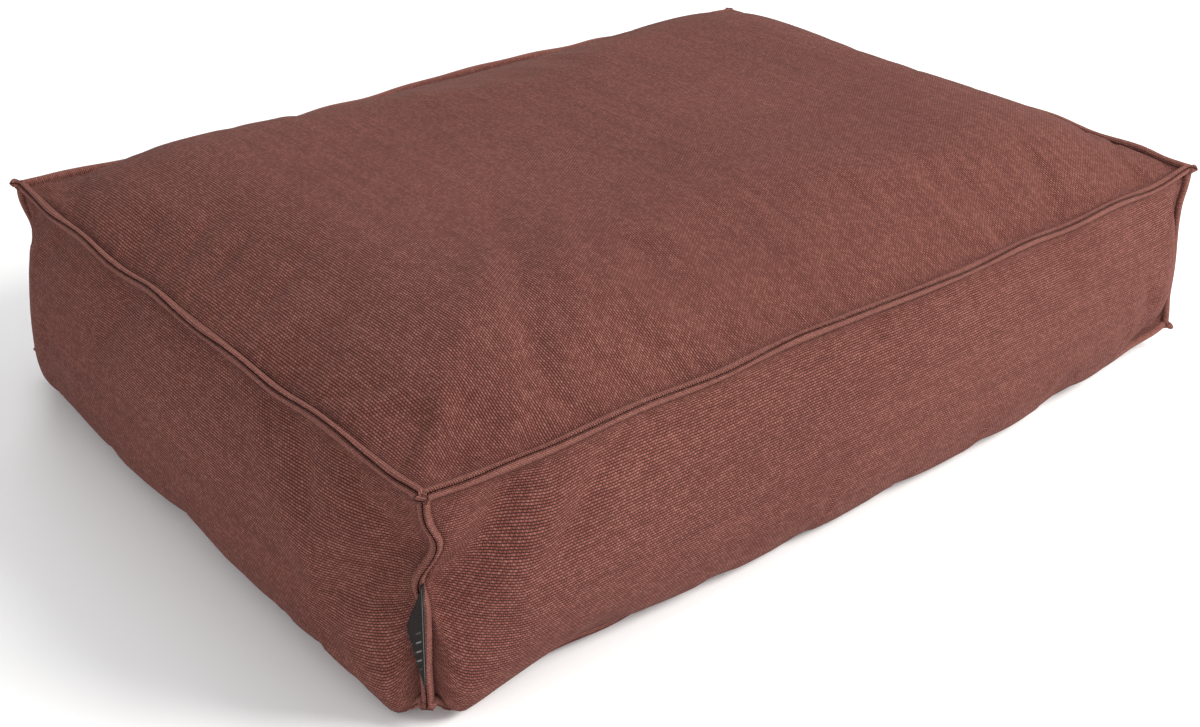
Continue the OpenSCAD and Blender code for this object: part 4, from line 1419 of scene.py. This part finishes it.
def closed_dome(points, tip, turned):
    """Rings joined by quads and closed on a middle point."""
    rings, sides = points.shape[:2]
    faces = tube_faces(rings, sides)
    start = (rings - 1) * sides
    turn = np.arange(sides)
    fan = np.stack([start + turn, start + (turn + 1) % sides, np.full(sides, rings * sides)], -1)
    faces, fan = (faces[:, ::-1], fan[:, ::-1]) if turned else (faces, fan)
    return np.concatenate([points.reshape(-1, 3), [tip]]), faces.tolist() + fan.tolist()


def casing():
    """The casing in three pieces of thin lining."""
    band = casing_band_points(0)
    around = run_along(band[len(band) // 2])
    uv = np.stack(np.broadcast_arrays(around[None, :], band[..., 2]), -1)
    made = new_mesh("casing_band_lining", band.reshape(-1, 3), tube_faces(*band.shape[:2]), uv.reshape(-1, 2))
    finish_piece(thicken(made, CASING_T), "cover", LINING, "casing_band")
    tops = (("casing_top", CASING_HIGH, CASING_CROWN, TOP_ROLL, False),
            ("casing_bottom", CASING_LOW, CASING_FOOT - CASING_LOW, FLOOR_ROLL, True))
    for node, edge, rise, reach, turned in tops:
        rings = casing_dome_points(0, edge, rise, reach)
        points, faces = closed_dome(rings, (0, 0, edge + rise * float(roll(CASING_B, reach))), turned)
        made = new_mesh(node + "_lining", points, faces, points[:, :2])
        finish_piece(thicken(made, CASING_T), "cover", LINING, node)


def filling():
    """The fibre inside the casing: one closed form, a little smaller all round."""
    inset = FILL_INSET
    lower = casing_dome_points(inset, CASING_LOW + inset, CASING_FOOT - CASING_LOW, FLOOR_ROLL)[::-1]
    upper = casing_dome_points(inset, CASING_HIGH - inset, CASING_CROWN, TOP_ROLL)
    body = np.concatenate([lower[:-1], casing_band_points(inset), upper[1:]])
    rings, sides = body.shape[:2]
    faces = tube_faces(rings, sides).tolist()
    first, last = rings * sides, rings * sides + 1
    ends = np.stack([np.arange(sides), (np.arange(sides) + 1) % sides], -1)
    faces += [[b, a, first] for a, b in ends.tolist()]
    faces += [[a, b, last] for a, b in (ends + (rings - 1) * sides).tolist()]
    crown = CASING_CROWN * float(roll(CASING_B, TOP_ROLL))
    tips = [(0, 0, CASING_FOOT + inset), (0, 0, CASING_HIGH - inset + crown)]
    made = new_mesh("fibre_filling", np.concatenate([body.reshape(-1, 3), tips]), faces)
    finish_piece(made, "cover", FIBRE, "fibre_fill")


def casing_threads():
    """The stitches of the casing's two seams, leaning toward its top and its bottom."""
    ring = casing_loop(0)
    loop = np.concatenate([ring, ring[:1]])
    run = run_along(loop[:, :2])
    place = np.arange(0.002, run[-1], CASING_STITCH)
    x, y, ox, oy = (np.interp(place, run, loop[:, k]) for k in range(4))
    side = unit(np.stack([ox, oy, 0 * ox], -1))
    centres, along, out = [], [], []
    for z, lean in ((CASING_LOW, -1), (CASING_HIGH, 1)):
        centres.append(np.stack([x, y, z + 0 * x], -1) + side * 0.0004)
        along.append(np.cross((0, 0, 1), side))
        out.append(unit(side + np.array((0, 0, 0.5 * lean))))
    made = stitches("casing_stitches", *(np.concatenate(k) for k in (centres, along, out)))
    finish_piece(made, "cover", PALE_THREAD, "casing_seam_threads")


for strip in ("zip_tape_upper", "zip_tape_lower"):
    zip_tape(strip)
zip_coil("zip_coil_upper", 1)
zip_coil("zip_coil_lower", -1)
zip_seams()
zip_metalwork()
zip_stop("zip_top_stops", ((low("zip_top_stops")[2], ZIP_Z - STOP_SPLIT),
                           (ZIP_Z + STOP_SPLIT, high("zip_top_stops")[2])))
zip_stop("zip_bottom_stop", ((low("zip_bottom_stop")[2], high("zip_bottom_stop")[2]),))
side_label()
care_label()
casing()
filling()
casing_threads()

# ---------------------------------------------------------------- camera, light and floor

EYE_AZIMUTH = math.radians(-41.0)
EYE_HEIGHT = math.radians(29.3)
EYE_ROLL = math.radians(1.5)
EYE_DISTANCE, EYE_RIGHT, EYE_UP = 1.42, -0.0144, -0.0232
EYE_TARGET = np.array((0, 0, 0.020))
EYE_LENS = 49.02
FLOOR_DROP = 0.0004


def place_camera():
    """The camera, from its angles round and above the target, its roll, distance and shift."""
    flat = math.cos(EYE_HEIGHT)
    back = np.array((math.sin(EYE_AZIMUTH) * flat, -math.cos(EYE_AZIMUTH) * flat, math.sin(EYE_HEIGHT)))
    right = np.array((math.cos(EYE_AZIMUTH), math.sin(EYE_AZIMUTH), 0))
    up = np.cross(back, right)
    turned_right = math.cos(EYE_ROLL) * right + math.sin(EYE_ROLL) * up
    turned_up = -math.sin(EYE_ROLL) * right + math.cos(EYE_ROLL) * up
    where = back * EYE_DISTANCE + right * EYE_RIGHT + up * EYE_UP + EYE_TARGET
    data = bpy.data.cameras.new("camera")
    data.lens = EYE_LENS
    data.sensor_width = 36
    data.clip_start = 0.01
    eye = bpy.data.objects.new("camera", data)
    eye.matrix_world = Matrix([list(row) for row in np.column_stack([
        np.append(turned_right, 0), np.append(turned_up, 0), np.append(back, 0), np.append(where, 1)])])
    bpy.context.scene.collection.objects.link(eye)
    bpy.context.scene.camera = eye


def area_light(name, where, aim, size, power, colour):
    """A round lamp at a place, aimed at another."""
    data = bpy.data.lights.new(name, "AREA")
    data.shape = "DISK"
    data.size = size
    data.energy = power
    data.color = colour
    lamp = bpy.data.objects.new(name, data)
    lamp.location = where
    lamp.rotation_euler = (Vector(aim) - Vector(where)).to_track_quat("-Z", "Y").to_euler()
    bpy.context.scene.collection.objects.link(lamp)


def light_scene():
    """Three soft lamps and an even white surrounding."""
    area_light("key", (1.7, -2.0, 1.9), (0.1, -0.1, 0.1), 1.4, 118, (1.0, 0.985, 0.96))
    area_light("fill", (-2.5, -1.2, 0.7), (0, 0, 0.05), 2.0, 24, (0.95, 0.97, 1.0))
    area_light("back", (0.9, 2.6, 2.0), (0, 0, 0.1), 2.0, 31, (1, 1, 1))
    world = bpy.data.worlds.new("studio")
    world.use_nodes = True
    sky = world.node_tree.nodes["Background"]
    sky.inputs["Color"].default_value = (1, 1, 1, 1)
    sky.inputs["Strength"].default_value = 0.62
    scene = bpy.context.scene
    scene.world = world
    scene.view_settings.view_transform = "Standard"
    scene.view_settings.look = "None"


def make_floor():
    """A wide pale floor a hair below the cushion, with a fine grain."""
    line = np.linspace(-8, 8, 5)
    x, y = np.meshgrid(line, line)
    points = np.stack([x, y, np.full(x.shape, -FLOOR_DROP)], -1).reshape(-1, 3)
    floor = new_mesh("floor", points, grid_faces(*x.shape))
    material, n = start_material("floor_paper")
    colour = n.mix(n.noise(n.where(), 3, 3), (0.965, 0.965, 0.965, 1), (0.985, 0.985, 0.985, 1))
    shader = material.node_tree.nodes["Principled BSDF"]
    n.feed(shader.inputs["Base Color"], colour)
    n.feed(shader.inputs["Roughness"], 0.9)
    floor.data.materials.append(material)


place_camera()
light_scene()
make_floor()
